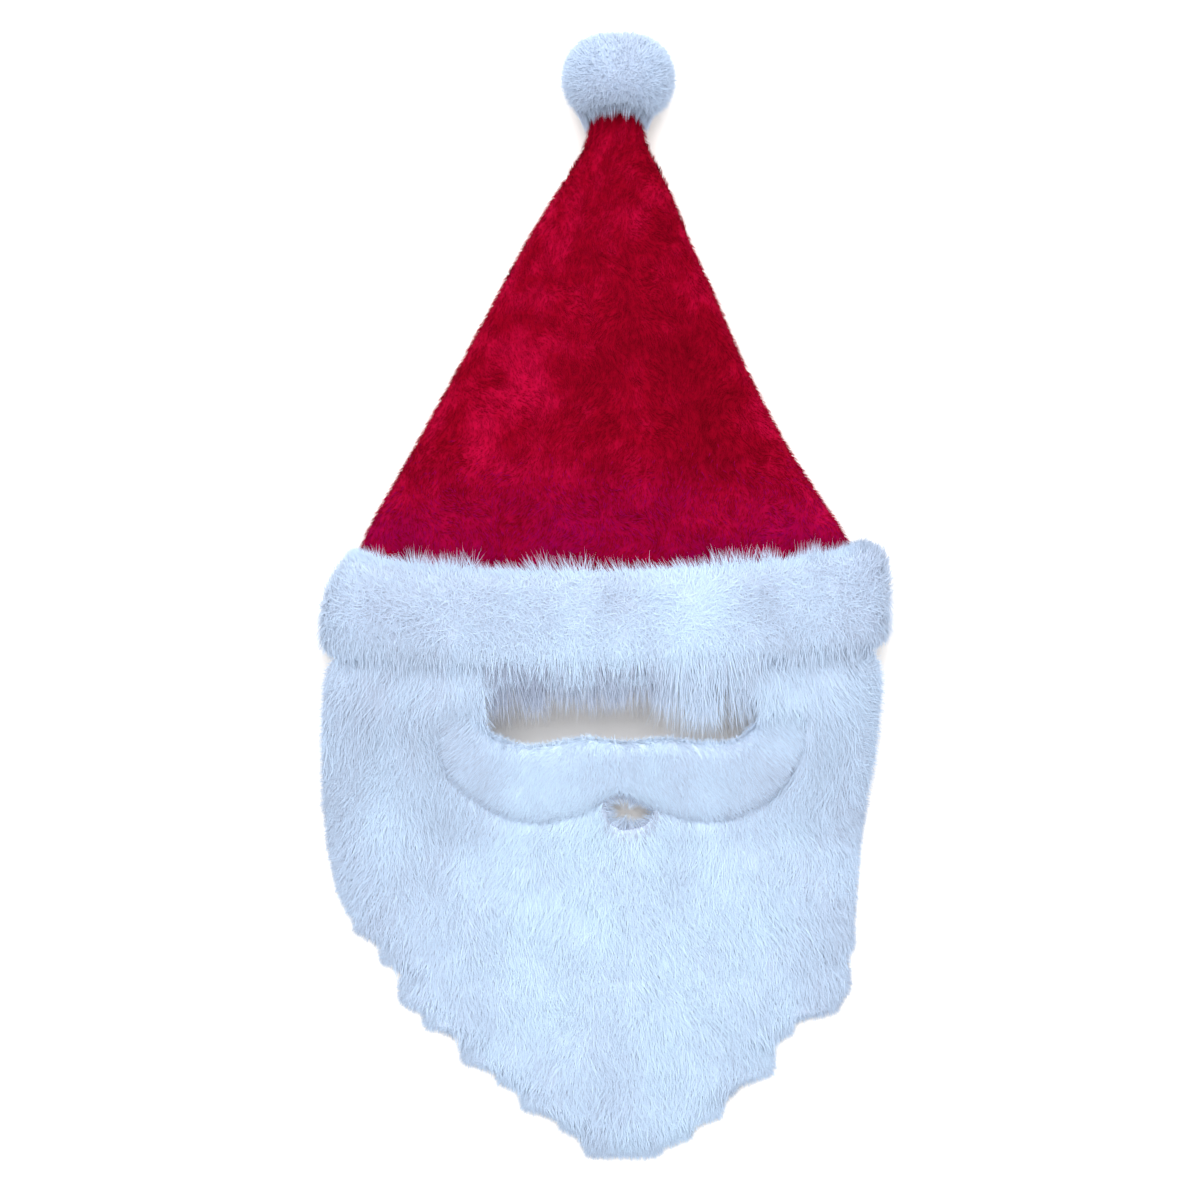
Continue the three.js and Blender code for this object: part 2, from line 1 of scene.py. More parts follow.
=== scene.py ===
import bpy
import numpy as np
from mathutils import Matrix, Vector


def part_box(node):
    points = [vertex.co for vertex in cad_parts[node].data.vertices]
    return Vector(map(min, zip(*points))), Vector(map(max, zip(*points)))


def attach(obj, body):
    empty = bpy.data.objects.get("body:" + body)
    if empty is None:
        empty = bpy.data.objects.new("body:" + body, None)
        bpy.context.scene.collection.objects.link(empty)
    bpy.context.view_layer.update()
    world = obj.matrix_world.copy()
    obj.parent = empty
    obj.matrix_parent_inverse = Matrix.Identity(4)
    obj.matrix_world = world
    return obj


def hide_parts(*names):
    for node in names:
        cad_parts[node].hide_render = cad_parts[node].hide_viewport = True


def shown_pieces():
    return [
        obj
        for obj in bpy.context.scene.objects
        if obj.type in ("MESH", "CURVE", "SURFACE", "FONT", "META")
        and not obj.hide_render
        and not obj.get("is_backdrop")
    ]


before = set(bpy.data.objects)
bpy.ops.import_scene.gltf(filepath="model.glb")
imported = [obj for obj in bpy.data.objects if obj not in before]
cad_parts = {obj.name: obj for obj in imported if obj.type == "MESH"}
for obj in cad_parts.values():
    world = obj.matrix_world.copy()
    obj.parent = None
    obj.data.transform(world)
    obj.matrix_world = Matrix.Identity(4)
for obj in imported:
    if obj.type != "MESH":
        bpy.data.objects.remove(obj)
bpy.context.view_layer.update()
mm = 0.001
print("frame loaded with", ", ".join(sorted(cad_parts)))

# All shapes below are in mm on the hat's own axes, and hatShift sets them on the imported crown
hemMiddleX = 0.5
hemHalf = 137
crownTipY = 254
crownLow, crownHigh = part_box("crown")
hatShift = np.array([(crownLow.x + crownHigh.x) / 2 / mm - hemMiddleX, crownHigh.y / mm - crownTipY, 0])

view = {
    "photoSide": 1200,
    "mmPerPixel": 0.52,
    "originPixel": (607, 598),  # where the hat's own zero lies in the photo
    "lens": 100,
    "sensor": 36,
    "focusLevel": 14,  # height, in mm, at which the photo's scale holds
}

studio = {
    "floorSide": 8,
    "floorDrop": 0.3,
    "floorColour": "#f2efec",
    "keyPlace": (-0.05, 0.75, 1.3),
    "keySide": 1.3,
    "keyPower": 23,
    "skyStrength": 1.36,
}


def linear(hexColour):
    srgb = np.array([int(hexColour[i:i + 2], 16) for i in (1, 3, 5)]) / 255
    rgb = np.where(srgb <= 0.04045, srgb / 12.92, ((srgb + 0.055) / 1.055) ** 2.4)
    return (*rgb.tolist(), 1.0)


def addNode(tree, kind, settings=None, inputs=None):
    node = tree.nodes.new(kind)
    for name, value in (settings or {}).items():
        setattr(node, name, value)
    for name, value in (inputs or {}).items():
        if isinstance(value, bpy.types.NodeSocket):
            tree.links.new(value, node.inputs[name])
        else:
            node.inputs[name].default_value = value
    return node


def setStage():
    side, pixel = view["photoSide"], view["mmPerPixel"]
    spot = [(side / 2 - view["originPixel"][0]) * pixel, (view["originPixel"][1] - side / 2) * pixel]
    height = view["lens"] / view["sensor"] * side * pixel + view["focusLevel"]
    place = [(spot[0] + hatShift[0]) * mm, (spot[1] + hatShift[1]) * mm, height * mm]
    bpy.ops.object.camera_add(location=place, rotation=(0, 0, 0))  # straight down, +Y up in the picture
    bpy.context.object.data.lens = view["lens"]
    bpy.context.object.data.sensor_width = view["sensor"]
    bpy.context.scene.camera = bpy.context.object

    bpy.ops.mesh.primitive_plane_add(size=studio["floorSide"], location=(0, 0, -studio["floorDrop"] * mm))
    floor = bpy.context.object
    floor.name = "floor"
    board = bpy.data.materials.new("painted board")
    board.use_nodes = True
    shader = board.node_tree.nodes["Principled BSDF"]
    shader.inputs["Base Color"].default_value = linear(studio["floorColour"])
    shader.inputs["Roughness"].default_value = 0.9
    shader.inputs["Specular IOR Level"].default_value = 0.1
    floor.data.materials.append(board)
    floor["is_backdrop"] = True

    bpy.ops.object.light_add(type="AREA", location=studio["keyPlace"])
    key = bpy.context.object
    key.data.size = studio["keySide"]
    key.data.energy = studio["keyPower"]
    towards = -key.location
    key.rotation_euler = towards.to_track_quat("-Z", "Y").to_euler()

    world = bpy.data.worlds.new("studio sky")
    world.use_nodes = True
    world.node_tree.nodes["Background"].inputs["Color"].default_value = linear("#ffffff")
    world.node_tree.nodes["Background"].inputs["Strength"].default_value = studio["skyStrength"]
    bpy.context.scene.world = world
    bpy.context.scene.view_settings.view_transform = "Standard"
    print("camera, floor and light set")


setStage()


# Shared shape work

def ease(value, low, high):
    share = np.clip((value - low) / (high - low), 0, 1)
    return share * share * (3 - 2 * share)


def unit(vectors):
    return vectors / np.maximum(np.linalg.norm(vectors, axis=-1, keepdims=True), 1e-9)


def softRows(rows, y, spread=6):  # columns of a table at y, rounded a little where its rows meet
    table = np.array(sorted(rows), float)
    steps = ((-1, 1), (-0.5, 2), (0, 3), (0.5, 2), (1, 1))
    total = sum(weight for _, weight in steps)
    return [
        sum(weight * np.interp(y + step * spread, table[:, 0], column) for step, weight in steps) / total
        for column in table[:, 1:].T
    ]


noiseSide = 64
noiseGrid = np.random.default_rng(3).random((noiseSide, noiseSide))


def softNoise(x, y, size):  # smooth patches from 0 to 1, size mm apart
    u, v = x / size, y / size
    i, j = np.floor(u).astype(int), np.floor(v).astype(int)
    s, t = ease(u - i, 0, 1), ease(v - j, 0, 1)
    i, j, iNext, jNext = i % noiseSide, j % noiseSide, (i + 1) % noiseSide, (j + 1) % noiseSide
    near = noiseGrid[i, j] * (1 - s) + noiseGrid[iNext, j] * s
    far = noiseGrid[i, jNext] * (1 - s) + noiseGrid[iNext, jNext] * s
    return near * (1 - t) + far * t


def newPiece(name, points, *faceSets):
    corners = np.concatenate([faces.ravel() for faces in faceSets])
    sides = np.concatenate([np.full(len(faces), faces.shape[1]) for faces in faceSets])
    volume = sum(
        np.einsum("ij,ij->i", points[f[:, 0]], np.cross(points[f[:, k]], points[f[:, k + 1]])).sum()
        for f in faceSets for k in range(1, f.shape[1] - 1)
    )
    if volume < 0:  # inside out: each face is taken the other way round
        corners = np.concatenate([faces[:, ::-1].ravel() for faces in faceSets])
    mesh = bpy.data.meshes.new(name)
    mesh.vertices.add(len(points))
    mesh.vertices.foreach_set("co", ((points + hatShift) * mm).astype(np.float32).ravel())
    mesh.loops.add(len(corners))
    mesh.loops.foreach_set("vertex_index", corners.astype(np.int32))
    mesh.polygons.add(len(sides))
    mesh.polygons.foreach_set("loop_start", (np.cumsum(sides) - sides).astype(np.int32))
    mesh.polygons.foreach_set("use_smooth", np.ones(len(sides), bool))
    mesh.update(calc_edges=True)
    mesh.validate()
    piece = bpy.data.objects.new(name, mesh)
    bpy.context.scene.collection.objects.link(piece)
    return piece


def ringFaces(rings, sides):  # quads between neighbouring rings
    i, j = np.meshgrid(np.arange(rings - 1), np.arange(sides), indexing="ij")
    after = (j + 1) % sides
    quads = [i * sides + j, i * sides + after, (i + 1) * sides + after, (i + 1) * sides + j]
    return np.stack(quads, -1).reshape(-1, 4)


def fanFaces(ringStart, sides, pole):
    j = np.arange(sides)
    return np.stack([ringStart + j, ringStart + (j + 1) % sides, np.full(sides, pole)], -1)


def gridNormals(grid, middle):  # middle: the grid's row and column at which the cloth faces up
    facing = unit(np.cross(np.gradient(grid, axis=0), np.gradient(grid, axis=1)))
    return facing * np.sign(facing[middle][2])


def scatter(grid, count, random, keep=1.0):  # places on a grid, evenly by area times keep
    along, beside = grid[1:, :-1] - grid[:-1, :-1], grid[:-1, 1:] - grid[:-1, :-1]
    area = np.linalg.norm(np.cross(along, beside), axis=-1) * keep
    cells = random.choice(area.size, count, p=area.ravel() / area.sum())
    i, j = np.unravel_index(cells, area.shape)
    return i, j, random.random(count)[:, None], random.random(count)[:, None]


def gridAt(grid, spots):
    i, j, s, t = spots
    near = grid[i, j] * (1 - s) + grid[i + 1, j] * s
    far = grid[i, j + 1] * (1 - s) + grid[i + 1, j + 1] * s
    return near * (1 - t) + far * t


def lieOver(root, facing, flowX, flowY, length, lift):  # tips of fibres that lean, by degrees, along a flow
    flow = np.stack([flowX, flowY, np.zeros_like(flowX)], -1)
    flow = unit(flow - facing * (flow * facing).sum(1, keepdims=True))
    lift = np.radians(lift)[:, None]
    return root + length[:, None] * (flow * np.cos(lift) + facing * np.sin(lift))


def mottled(tone, random, spread=0.3):  # each fibre a little lighter or darker than its neighbours
    return tone + spread * (random.random(len(tone)) - 0.5)


def halfWidths(half, random, count):
    return half * random.uniform(0.7, 1.2, count)


# Each fibre is a closed needle: a small triangle round its root, and a tip
fibreFaces = np.array([(0, 1, 2), (3, 0, 2), (3, 2, 1), (3, 1, 0)])
lieClear = 0.4  # mm above the floor


def newFibres(name, groups, softness):  # groups of roots, tips, facings, half widths and tones
    root, tip, facing, half, tone = (np.concatenate(parts) for parts in zip(*groups))
    root[:, 2] = np.maximum(root[:, 2], lieClear)
    tip[:, 2] = np.maximum(tip[:, 2], lieClear)
    ahead = unit(tip - root)
    up = unit(facing - ahead * (facing * ahead).sum(1, keepdims=True))
    right = np.cross(ahead, up)
    wide = half[:, None]
    points = np.stack([root - right * wide, root + right * wide, root + up * wide, tip], 1)
    own = np.stack([up * 0.4 - right, up * 0.4 + right, up, up], 1)
    lit = unit(facing * (1, 1, 0) + np.maximum(facing, 0.3) * (0, 0, 1))  # never lit from below
    normals = unit(softness * lit[:, None] + (1 - softness) * own)
    count = len(root)
    faces = (fibreFaces[None] + 4 * np.arange(count)[:, None, None]).reshape(-1, 3)
    piece = newPiece(name, points.reshape(-1, 3), faces)
    tones = np.clip(tone, 0.03, 0.97)[:, None] + np.array([-0.012, 0.012, 0, 0])
    paintFibres(piece, tones.ravel(), np.tile([0.02, 0.02, 0.06, 0.98], count))
    piece.data.normals_split_custom_set_from_vertices(normals.reshape(-1, 3).astype(np.float32))
    print(f"{name}: {count} fibres, {len(piece.data.polygons)} triangles")
    return piece


def paint(piece, values, name="tone"):
    piece.data.attributes.new(name, "FLOAT", "POINT").data.foreach_set("value", values.astype(np.float32))


def paintFibres(piece, tones, along):  # these two give a fibre its colour, so its map holds them too
    mesh = piece.data
    paint(piece, tones)
    paint(piece, along, "along")
    corner = np.empty(len(mesh.loops), np.int32)
    mesh.loops.foreach_get("vertex_index", corner)
    places = np.stack([tones[corner], along[corner]], -1).astype(np.float32)
    mesh.uv_layers.new(name="OFBake").uv.foreach_set("vector", places.ravel())


def finishPiece(piece, material, replaced=()):
    piece.data.materials.append(material)
    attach(piece, "root")
    if replaced:
        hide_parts(replaced)


# Materials

def toneRamp(tree, value, tones):
    ramp = addNode(tree, "ShaderNodeValToRGB", inputs={"Fac": value})
    stops = ramp.color_ramp.elements
    while len(stops) < len(tones):
        stops.new(0.5)
    for stop, (place, colour) in zip(stops, tones):
        stop.position = place
        stop.color = linear(colour)
    return ramp.outputs["Color"]


def setFinish(shader, finish):
    shader.inputs["Roughness"].default_value = finish["roughness"]
    shader.inputs["Specular IOR Level"].default_value = finish["shine"]
    shader.inputs["Sheen Weight"].default_value = finish["sheen"]
    shader.inputs["Sheen Roughness"].default_value = 0.5
    shader.inputs["Sheen Tint"].default_value = linear(finish["sheenColour"])


def fibreMaterial(name, finish):
    material = bpy.data.materials.new(name)
    material.use_nodes = True
    tree = material.node_tree
    shader = tree.nodes["Principled BSDF"]
    tone = addNode(tree, "ShaderNodeAttribute", {"attribute_name": "tone"})
    along = addNode(tree, "ShaderNodeAttribute", {"attribute_name": "along"})
    # painted shade deep in the pile, darkest at the root
    depth = addNode(tree, "ShaderNodeMapRange", {"clamp": True}, {
        "Value": along.outputs["Fac"], "From Max": 0.75, "To Min": finish["paintedRootShade"], "To Max": 0.0,
    })
    level = addNode(tree, "ShaderNodeMath", {"operation": "SUBTRACT"}, {
        0: tone.outputs["Fac"], 1: depth.outputs["Result"],
    })
    tree.links.new(toneRamp(tree, level.outputs["Value"], finish["pileTones"]), shader.inputs["Base Color"])
    setFinish(shader, finish)
    return material


def bodyMaterial(name, finish):  # dense pile under the fibres, with fine streaks along Y on soft patches
    material = bpy.data.materials.new(name)
    material.use_nodes = True
    tree = material.node_tree
    shader = tree.nodes["Principled BSDF"]
    tone = addNode(tree, "ShaderNodeAttribute", {"attribute_name": "tone"})
    place = addNode(tree, "ShaderNodeTexCoord")
    along = addNode(tree, "ShaderNodeMapping", inputs={
        "Vector": place.outputs["Object"], "Scale": (1.0, finish["streak"], 1.0),
    })
    grain = addNode(tree, "ShaderNodeTexNoise", inputs={
        "Vector": along.outputs["Vector"], "Scale": 1 / (finish["grain"] * mm), "Detail": 3.0,
    })
    mottle = addNode(tree, "ShaderNodeTexNoise", inputs={
        "Vector": place.outputs["Object"], "Scale": 1 / (finish["mottle"] * mm), "Detail": 2.0,
    })
    fine = addNode(tree, "ShaderNodeMath", {"operation": "MULTIPLY_ADD"}, {
        0: grain.outputs["Fac"], 1: finish["grainShare"], 2: tone.outputs["Fac"],
    })
    whole = addNode(tree, "ShaderNodeMath", {"operation": "MULTIPLY_ADD"}, {
        0: mottle.outputs["Fac"], 1: finish["mottleShare"], 2: fine.outputs["Value"],
    })
    level = addNode(tree, "ShaderNodeMath", {"operation": "SUBTRACT"}, {
        0: whole.outputs["Value"], 1: (finish["grainShare"] + finish["mottleShare"]) / 2,
    })
    plum = addNode(tree, "ShaderNodeAttribute", {"attribute_name": "plum"})
    colour = addNode(tree, "ShaderNodeMixRGB", inputs={
        "Fac": plum.outputs["Fac"], "Color1": toneRamp(tree, level.outputs["Value"], finish["tones"]),
        "Color2": linear(finish["pileTones"][0][1]),
    })
    tree.links.new(colour.outputs["Color"], shader.inputs["Base Color"])
    bump = addNode(tree, "ShaderNodeBump", inputs={
        "Height": grain.outputs["Fac"], "Strength": finish["bump"], "Distance": 0.5 * finish["grain"] * mm,
    })
    tree.links.new(bump.outputs["Normal"], shader.inputs["Normal"])
    setFinish(shader, finish)
    return material


# the greys at the low end are the tones that painted shade reaches
furTones = [(0.0, "#8f99b0"), (0.2, "#b0bdd4"), (0.6, "#c6ddf8"), (1.0, "#cfeeff")]
furFinish = {
    "tones": furTones,
    "pileTones": furTones,
    "paintedRootShade": 0.1,
    "roughness": 0.85,
    "shine": 0.1,
    "sheen": 0.0,
    "sheenColour": "#ffffff",
    "streak": 0.25,
    "grain": 1.3,  # mm, as coarse as it needs to show
    "mottle": 16,
    "grainShare": 0.2,
    "mottleShare": 0.25,
    "bump": 0.25,
}
plushFinish = {
    "tones": [(0.0, "#5e000d"), (0.5, "#760016"), (1.0, "#a00632")],
    "pileTones": [  # plum below, and the red tones in the upper half
        (0.1, "#7c0040"), (0.2, "#5e000d"), (0.5, "#5e000d"), (0.75, "#760016"), (1.0, "#a00632"),
    ],
    "paintedRootShade": 0.2,
    "roughness": 0.8,
    "shine": 0.015,
    "sheen": 0.1,
    "sheenColour": "#b00832",
    "streak": 0.5,
    "grain": 1.0,  # mm, as coarse as it needs to show
    "mottle": 9,
    "grainShare": 0.45,
    "mottleShare": 0.45,
    "bump": 0.6,
}
longFur = fibreMaterial("acrylic long pile", furFinish)  # pale blue-white, soft and matt
furBody = bodyMaterial("acrylic dense pile", furFinish)  # the same fur packed close, with painted shade where it shows between the fibres
plushPile = fibreMaterial("brushed polyester plush", plushFinish)  # crimson, with painted sheen where the nap turns
plushBody = bodyMaterial("polyester plush ground", plushFinish)  # short upright pile with fine mottling
print("materials made")


# Crown: limp cone of plush, flat underneath, creased at the sides and domed above

crown = {
    "rows": [  # y, centre, half width, lowest, height
        (-32, hemMiddleX, hemHalf, 9, 30), (-8, 0, 135.5, 9, 31), (12, -0.8, 131, 8.5, 33),
        (30, -2.2, 123.5, 6, 36), (51, -3, 112, 2, 38), (77, -3.4, 98, 0, 37), (103, -2.9, 84.5, 0, 35),
        (129, -2.1, 71.2, 0, 33), (155, -0.5, 58.8, 0, 31), (181, 0.2, 46, 0, 29), (207, 3.2, 32.8, 2, 27),
        (221, 4.4, 25, 5, 24), (228, 4.6, 20.4, 7, 22.5), (236, 4.7, 16.6, 9, 20.5),
        (244, 4.6, 15.2, 10, 19.2), (256, 4.6, 14.6, 10, 19),
    ],
    "dents": [  # x, y, across, along, depth
        (-50, 113, 24, 44, 3.5), (-16, 61, 13, 22, 3), (44, 96, 16, 62, 3.5), (4, 186, 11, 38, 2.5),
    ],
    "nap": [  # x, y, across, along, how much lighter the brushed pile is there: the nap is real, its lightness painted sheen, or painted shade below zero
        (-42, 116, 17, 24, 0.34), (-27, 169, 10, 16, 0.16), (-66, 80, 17, 20, 0.24), (-17, 62, 3, 7, 0.3),
        (49, 105, 20, 48, -0.2), (-5, 112, 20, 30, -0.12), (18, 205, 7, 20, 0.12), (62, 42, 22, 8, 0.1),
    ],
    "hemY": -32,
    "closeY": 255,  # where the cloth is drawn together under the pompom
    "pileFrom": 4,  # the band covers what is below
    # painted sheen along the two creases, where the plush turns away
    "edgeSheen": 0.24,
    "plum": 0.5,  # share of the plush by the band that is plum
    "gathers": 1.1,
    "sideShare": 0.4,  # height of the side creases
    "square": 0.8,
    "dome": 0.9,
    "pile": 1.6,
    "wall": 3,
    "rings": 84,
    "sides": 128,
    "fibres": 36000,
    "fibreLength": 3.2,
    "fibreHalf": 0.22,
}

band = {
    "middleY": -8,
    "height": 54,
    "slant": 0.018,
    "sag": 8,
    "bowEnds": 115,
    "edge": 2,
    "front": 10,
    "side": 10.4,
    "back": 8.7,
    "roundLeft": 2.2,
    "roundRight": 8,
    "gap": 0.3,
    "bodyShare": 0.8,
    "sideShare": 0.92,
    "lumps": 2.2,
    "rings": 220,
    "levels": 24,
    "skew": 3.5,  # how far its ends lean, to the right above and to the left below
    "dip": 6,  # of its upper edge, in front
    "fibres": 29500,
    "fringe": 6500,
    "skirt": 6500,
    "skirtHalf": 136,
    "veil": 7000,
    "fibreLength": 9,
    "fibreHalf": 0.2,
}


def bow(x, y):  # how far the band's sag and slant carry a point along Y
    fade = 1 - ease(y, band["middleY"] + band["height"] / 2, band["bowEnds"])
    return fade * (band["slant"] * x + band["sag"] * (x / hemHalf) ** 2)


def crownPoint(y, angle, inset):  # angle 0 is the +X crease, a quarter turn the top
    centre, half, low, height = softRows(crown["rows"], y)
    c, s = np.cos(angle), np.sin(angle)
    up, down = np.maximum(s, 0), np.maximum(-s, 0)
    side = low + crown["sideShare"] * height
    x = centre + (half - inset) * np.sign(c) * np.abs(c) ** crown["square"]
    pleat = crown["gathers"] * np.cos(17 * angle) * ease(y, 228, 252)
    dent = pleat + sum(
        depth * np.exp(-((x - dx) / across) ** 2 - ((y - dy) / along) ** 2)
        for dx, dy, across, along, depth in crown["dents"]
    )
    above = side + (low + height - inset - side) * up ** crown["dome"] - dent * up
    below = side - (side - low - inset) * np.minimum(1, 1.25 * down ** 0.5)
    return np.stack([x, y + bow(x, y), np.where(s >= 0, above, below)], -1)


def crownGrid(yFrom, yTo, rings, sides, inset, closing=1):
    angles = np.arange(sides + closing) * 2 * np.pi / sides
    y, angle = np.meshgrid(np.linspace(yFrom, yTo, rings), angles, indexing="ij")
    return crownPoint(y, angle, inset)


def napSheenAndTone(x, y):  # how light the brushed plush is at each place: random mottling, painted sheen at the creases and on brushed patches, some patches in painted shade, and painted shade under the pompom
    centre, half = softRows(crown["rows"], y)[:2]
    tone = 0.5 + crown["edgeSheen"] * ease(np.abs(x - centre) / half, 0.82, 1)
    for px, py, across, along, lighter in crown["nap"]:
        tone = tone + lighter * np.exp(-((x - px) / across) ** 2 - ((y - py) / along) ** 2)
    # painted shade where the crown runs in under the pompom
    tone = tone - 0.35 * ease(y, 243, 253)
    return tone + 0.3 * (softNoise(x, y, 13) - 0.5) + 0.25 * (softNoise(x + 55, y, 5) - 0.5)


def plumShare(x, y):  # of the pile, in patches and most by the band
    return crown["plum"] * (1 - ease(y, 5, 85)) * (0.5 + softNoise(x + 120, y, 18))


def makeCrown():
    rings, sides = crown["rings"], crown["sides"]
    outer = crownGrid(crown["closeY"], crown["hemY"], rings, sides, crown["pile"], 0)
    inner = crownGrid(crown["hemY"], crown["closeY"], rings, sides, crown["wall"], 0)
    points = np.concatenate([outer, inner]).reshape(-1, 3)
    points = np.concatenate([points, [outer[0].mean(0) + (0, 4, 0), inner[-1].mean(0) + (0, 2.5, 0)]])
    last = (2 * rings - 1) * sides
    caps = [fanFaces(0, sides, len(points) - 2)[:, ::-1], fanFaces(last, sides, len(points) - 1)]
    cloth = newPiece("crown_cloth", points, ringFaces(2 * rings, sides), *caps)
    paint(cloth, napSheenAndTone(points[:, 0], points[:, 1]))
    paint(cloth, plumShare(points[:, 0], points[:, 1]), "plum")
    finishPiece(cloth, plushBody, "crown")

    random = np.random.default_rng(21)
    grid = crownGrid(crown["pileFrom"], crownTipY, rings, sides, crown["pile"])
    facing = gridNormals(grid, (rings // 2, sides // 4))
    keep = np.where(facing[:-1, :-1, 2] > -0.2, 1.0, 0.25)
    spots = scatter(grid, crown["fibres"], random, keep)
    root, out = gridAt(grid, spots), unit(gridAt(facing, spots))
    x, y, count = root[:, 0], root[:, 1], len(root)
    brush = 3 * (softNoise(x, y, 22) - 0.5) + 2 * (softNoise(x + 90, y, 8) - 0.5)
    length = crown["fibreLength"] * random.uniform(0.7, 1.2, count)
    tip = lieOver(root, out, np.sin(brush), -np.cos(brush), length, random.uniform(20, 50, count))
    half = crown["fibreHalf"] * random.uniform(0.8, 1.2, count)
    # brushed one way a fibre gets painted sheen, the other way painted shade
    tone = napSheenAndTone(x, y) + 0.35 * (random.random(count) - 0.5) + 0.15 * np.cos(brush)
    isPlum = random.random(count) < plumShare(x, y)
    tone = np.where(isPlum, 0, 0.5 + 0.5 * np.clip(tone, 0, 1))
    pile = newFibres("crown_pile", [(root, tip, out, half, tone)], 0.8)
    finishPiece(pile, plushPile)


makeCrown()


# Band: deep fur round the hem, on a soft body

def bandPlace(angle, level, out):
    dip = np.where(np.sin(angle) > 0, band["dip"] * ease(level, 0.2, 1) * (1 - np.cos(angle) ** 6), 0)
    y = band["middleY"] + level * band["height"] / 2 - dip
    ahead, behind = crownPoint(y, angle + 0.02, -band["gap"]), crownPoint(y, angle - 0.02, -band["gap"])
    across = unit((ahead - behind) * (1, 0, 1))
    up = np.stack([across[..., 2], np.zeros_like(y), -across[..., 0]], -1)
    full = np.where(
        up[..., 2] > 0,
        band["side"] + (band["front"] - band["side"]) * up[..., 2],
        band["side"] + (band["side"] - band["back"]) * up[..., 2],
    )
    roundness = band["roundLeft"] + (band["roundRight"] - band["roundLeft"]) * (1 + np.cos(angle)) / 2
    depth = band["edge"] + (full - band["edge"]) * np.sqrt(np.maximum(0, 1 - np.abs(level) ** roundness))
    lean = np.zeros_like(up)
    lean[..., 0] = band["skew"] * level * out * np.cos(angle) ** 6
    return crownPoint(y, angle, -band["gap"]) + up * (out * depth)[..., None] + lean


def bandGrid(levels, out, sideOut):  # fuller by the creases than in front and behind
    angles = np.arange(band["rings"] + 1) * 2 * np.pi / band["rings"]
    level, angle = np.meshgrid(levels, angles, indexing="ij")
    return bandPlace(angle, level, out + (sideOut - out) * np.cos(angle) ** 8)


def hemAngle(x):  # where on the front of the hem x lies
    return np.arccos(np.clip(np.sign(x) * (np.abs(x) / hemHalf) ** (1 / crown["square"]), -1, 1))


bodyShade = 0.24  # loose fibres shade the dense pile under them


def furTone(x, y):  # faint patches that all the white fur shares, over a painted pool of light round the beard's middle that turns to painted shade further out, and darker at the band's right end
    # painted light: lighter round the middle of the beard, painted shade further out
    broad = 0.06 - 0.2 * ease(np.hypot((x - 8) / 140, (y + 150) / 230), 0.2, 1)
    # darker at the right end of the band
    broad = broad - 0.12 * ease(x, 60, 130) * ease(y, -45, -20)
    fine = 0.16 * (softNoise(x + 60, 0.6 * y, 14) - 0.5)
    return 0.6 + broad + 0.2 * (softNoise(x, 0.7 * y, 38) - 0.5) + fine


def bandBody(levels):  # its upper side as a grid, and the grid's facings
    body = bandGrid(levels, band["bodyShare"], band["sideShare"])
    facing = gridNormals(body, (len(levels) // 2, band["rings"] // 4))
    lump = band["lumps"] * (softNoise(body[..., 0], body[..., 1], 15) - 0.5) * (1 - levels[:, None] ** 4)
    return body + facing * lump[..., None], facing


def bandCover(random, levels, body, facing):  # fur that parts along the middle of the band
    keep = np.where(facing[:-1, :-1, 2] > -0.3, 1.0, 0.4)
    spots = scatter(body, band["fibres"], random, keep)
    root, out = gridAt(body, spots), unit(gridAt(facing, spots))
    x, y, count = root[:, 0], root[:, 1], len(root)
    level = levels[spots[0]]
    flowX = softNoise(x + 200, y, 18) - 0.5 + 0.5 * random.normal(size=count)
    flowY = 1.2 * level + 0.7 * (softNoise(x, y, 16) - 0.5) + 0.45 * random.normal(size=count)
    length = band["fibreLength"] * random.uniform(0.65, 1.15, count)
    length = length * (1 - 0.55 * ease(np.abs(level), 0.6, 1))
    tip = lieOver(root, out, flowX, flowY, length, random.uniform(10, 42, count))
    half = halfWidths(band["fibreHalf"], random, count)
    return root, tip, out, half, mottled(furTone(x, y), random)


def bandFringe(random):  # wisps that stand over the crown along the upper edge
    count = band["fringe"]
    angle, level = np.pi * random.uniform(0, 1, count), random.uniform(0.84, 1.0, count)
    angle = np.where(random.random(count) < 0.8, angle, -angle)
    root = bandPlace(angle, level, random.uniform(0.3, 1.0, count))
    out = unit(bandPlace(angle, level, np.ones(count)) - bandPlace(angle, level, np.zeros(count)))
    x, y = root[:, 0], root[:, 1]
    clump = softNoise(x, 3 * y, 7)
    length = (6 + 9 * clump) * random.uniform(0.3, 1.15, count) * (1 - 0.6 * np.cos(angle) ** 8)
    flowX = 1.4 * (softNoise(x + 33, y, 9) - 0.5) - 0.3 + 0.3 * random.normal(size=count)
    tip = lieOver(root, out, flowX, np.ones(count), length, random.uniform(4, 30, count))
    half = halfWidths(0.55 * band["fibreHalf"], random, count)
    return root, tip, out, half, mottled(furTone(x, y) + 0.1, random)


def bandSkirt(random):  # falls over the top of the beard, and part of it runs on behind
    count = band["skirt"]
    angle = hemAngle(band["skirtHalf"] * random.uniform(-1, 1, count))
    level, share = random.uniform(-0.97, -0.6, count), random.uniform(0.7, 0.95, count)
    root = bandPlace(angle, level, share)
    x, y = root[:, 0], root[:, 1]
    out = beardFacing(x, y)
    flowX = 0.9 * (softNoise(x, y, 11) - 0.5) + 0.15 * random.normal(size=count)
    length = (10 + 7 * softNoise(x + 17, y, 13)) * random.uniform(0.5, 1.15, count)
    tip = lieOver(root, out, flowX, -np.ones(count), length, random.uniform(-52, 2, count))
    behind = random.random(count) < 0.2
    root[behind] = bandPlace(-angle[behind], level[behind], share[behind])
    tip[behind] = root[behind] + length[behind, None] * (0.1, -0.9, -0.1)
    out[behind] = (0, -0.3, 0.95)
    half = halfWidths(0.85 * band["fibreHalf"], random, count)
    return root, tip, out, half, mottled(furTone(x, y), random)


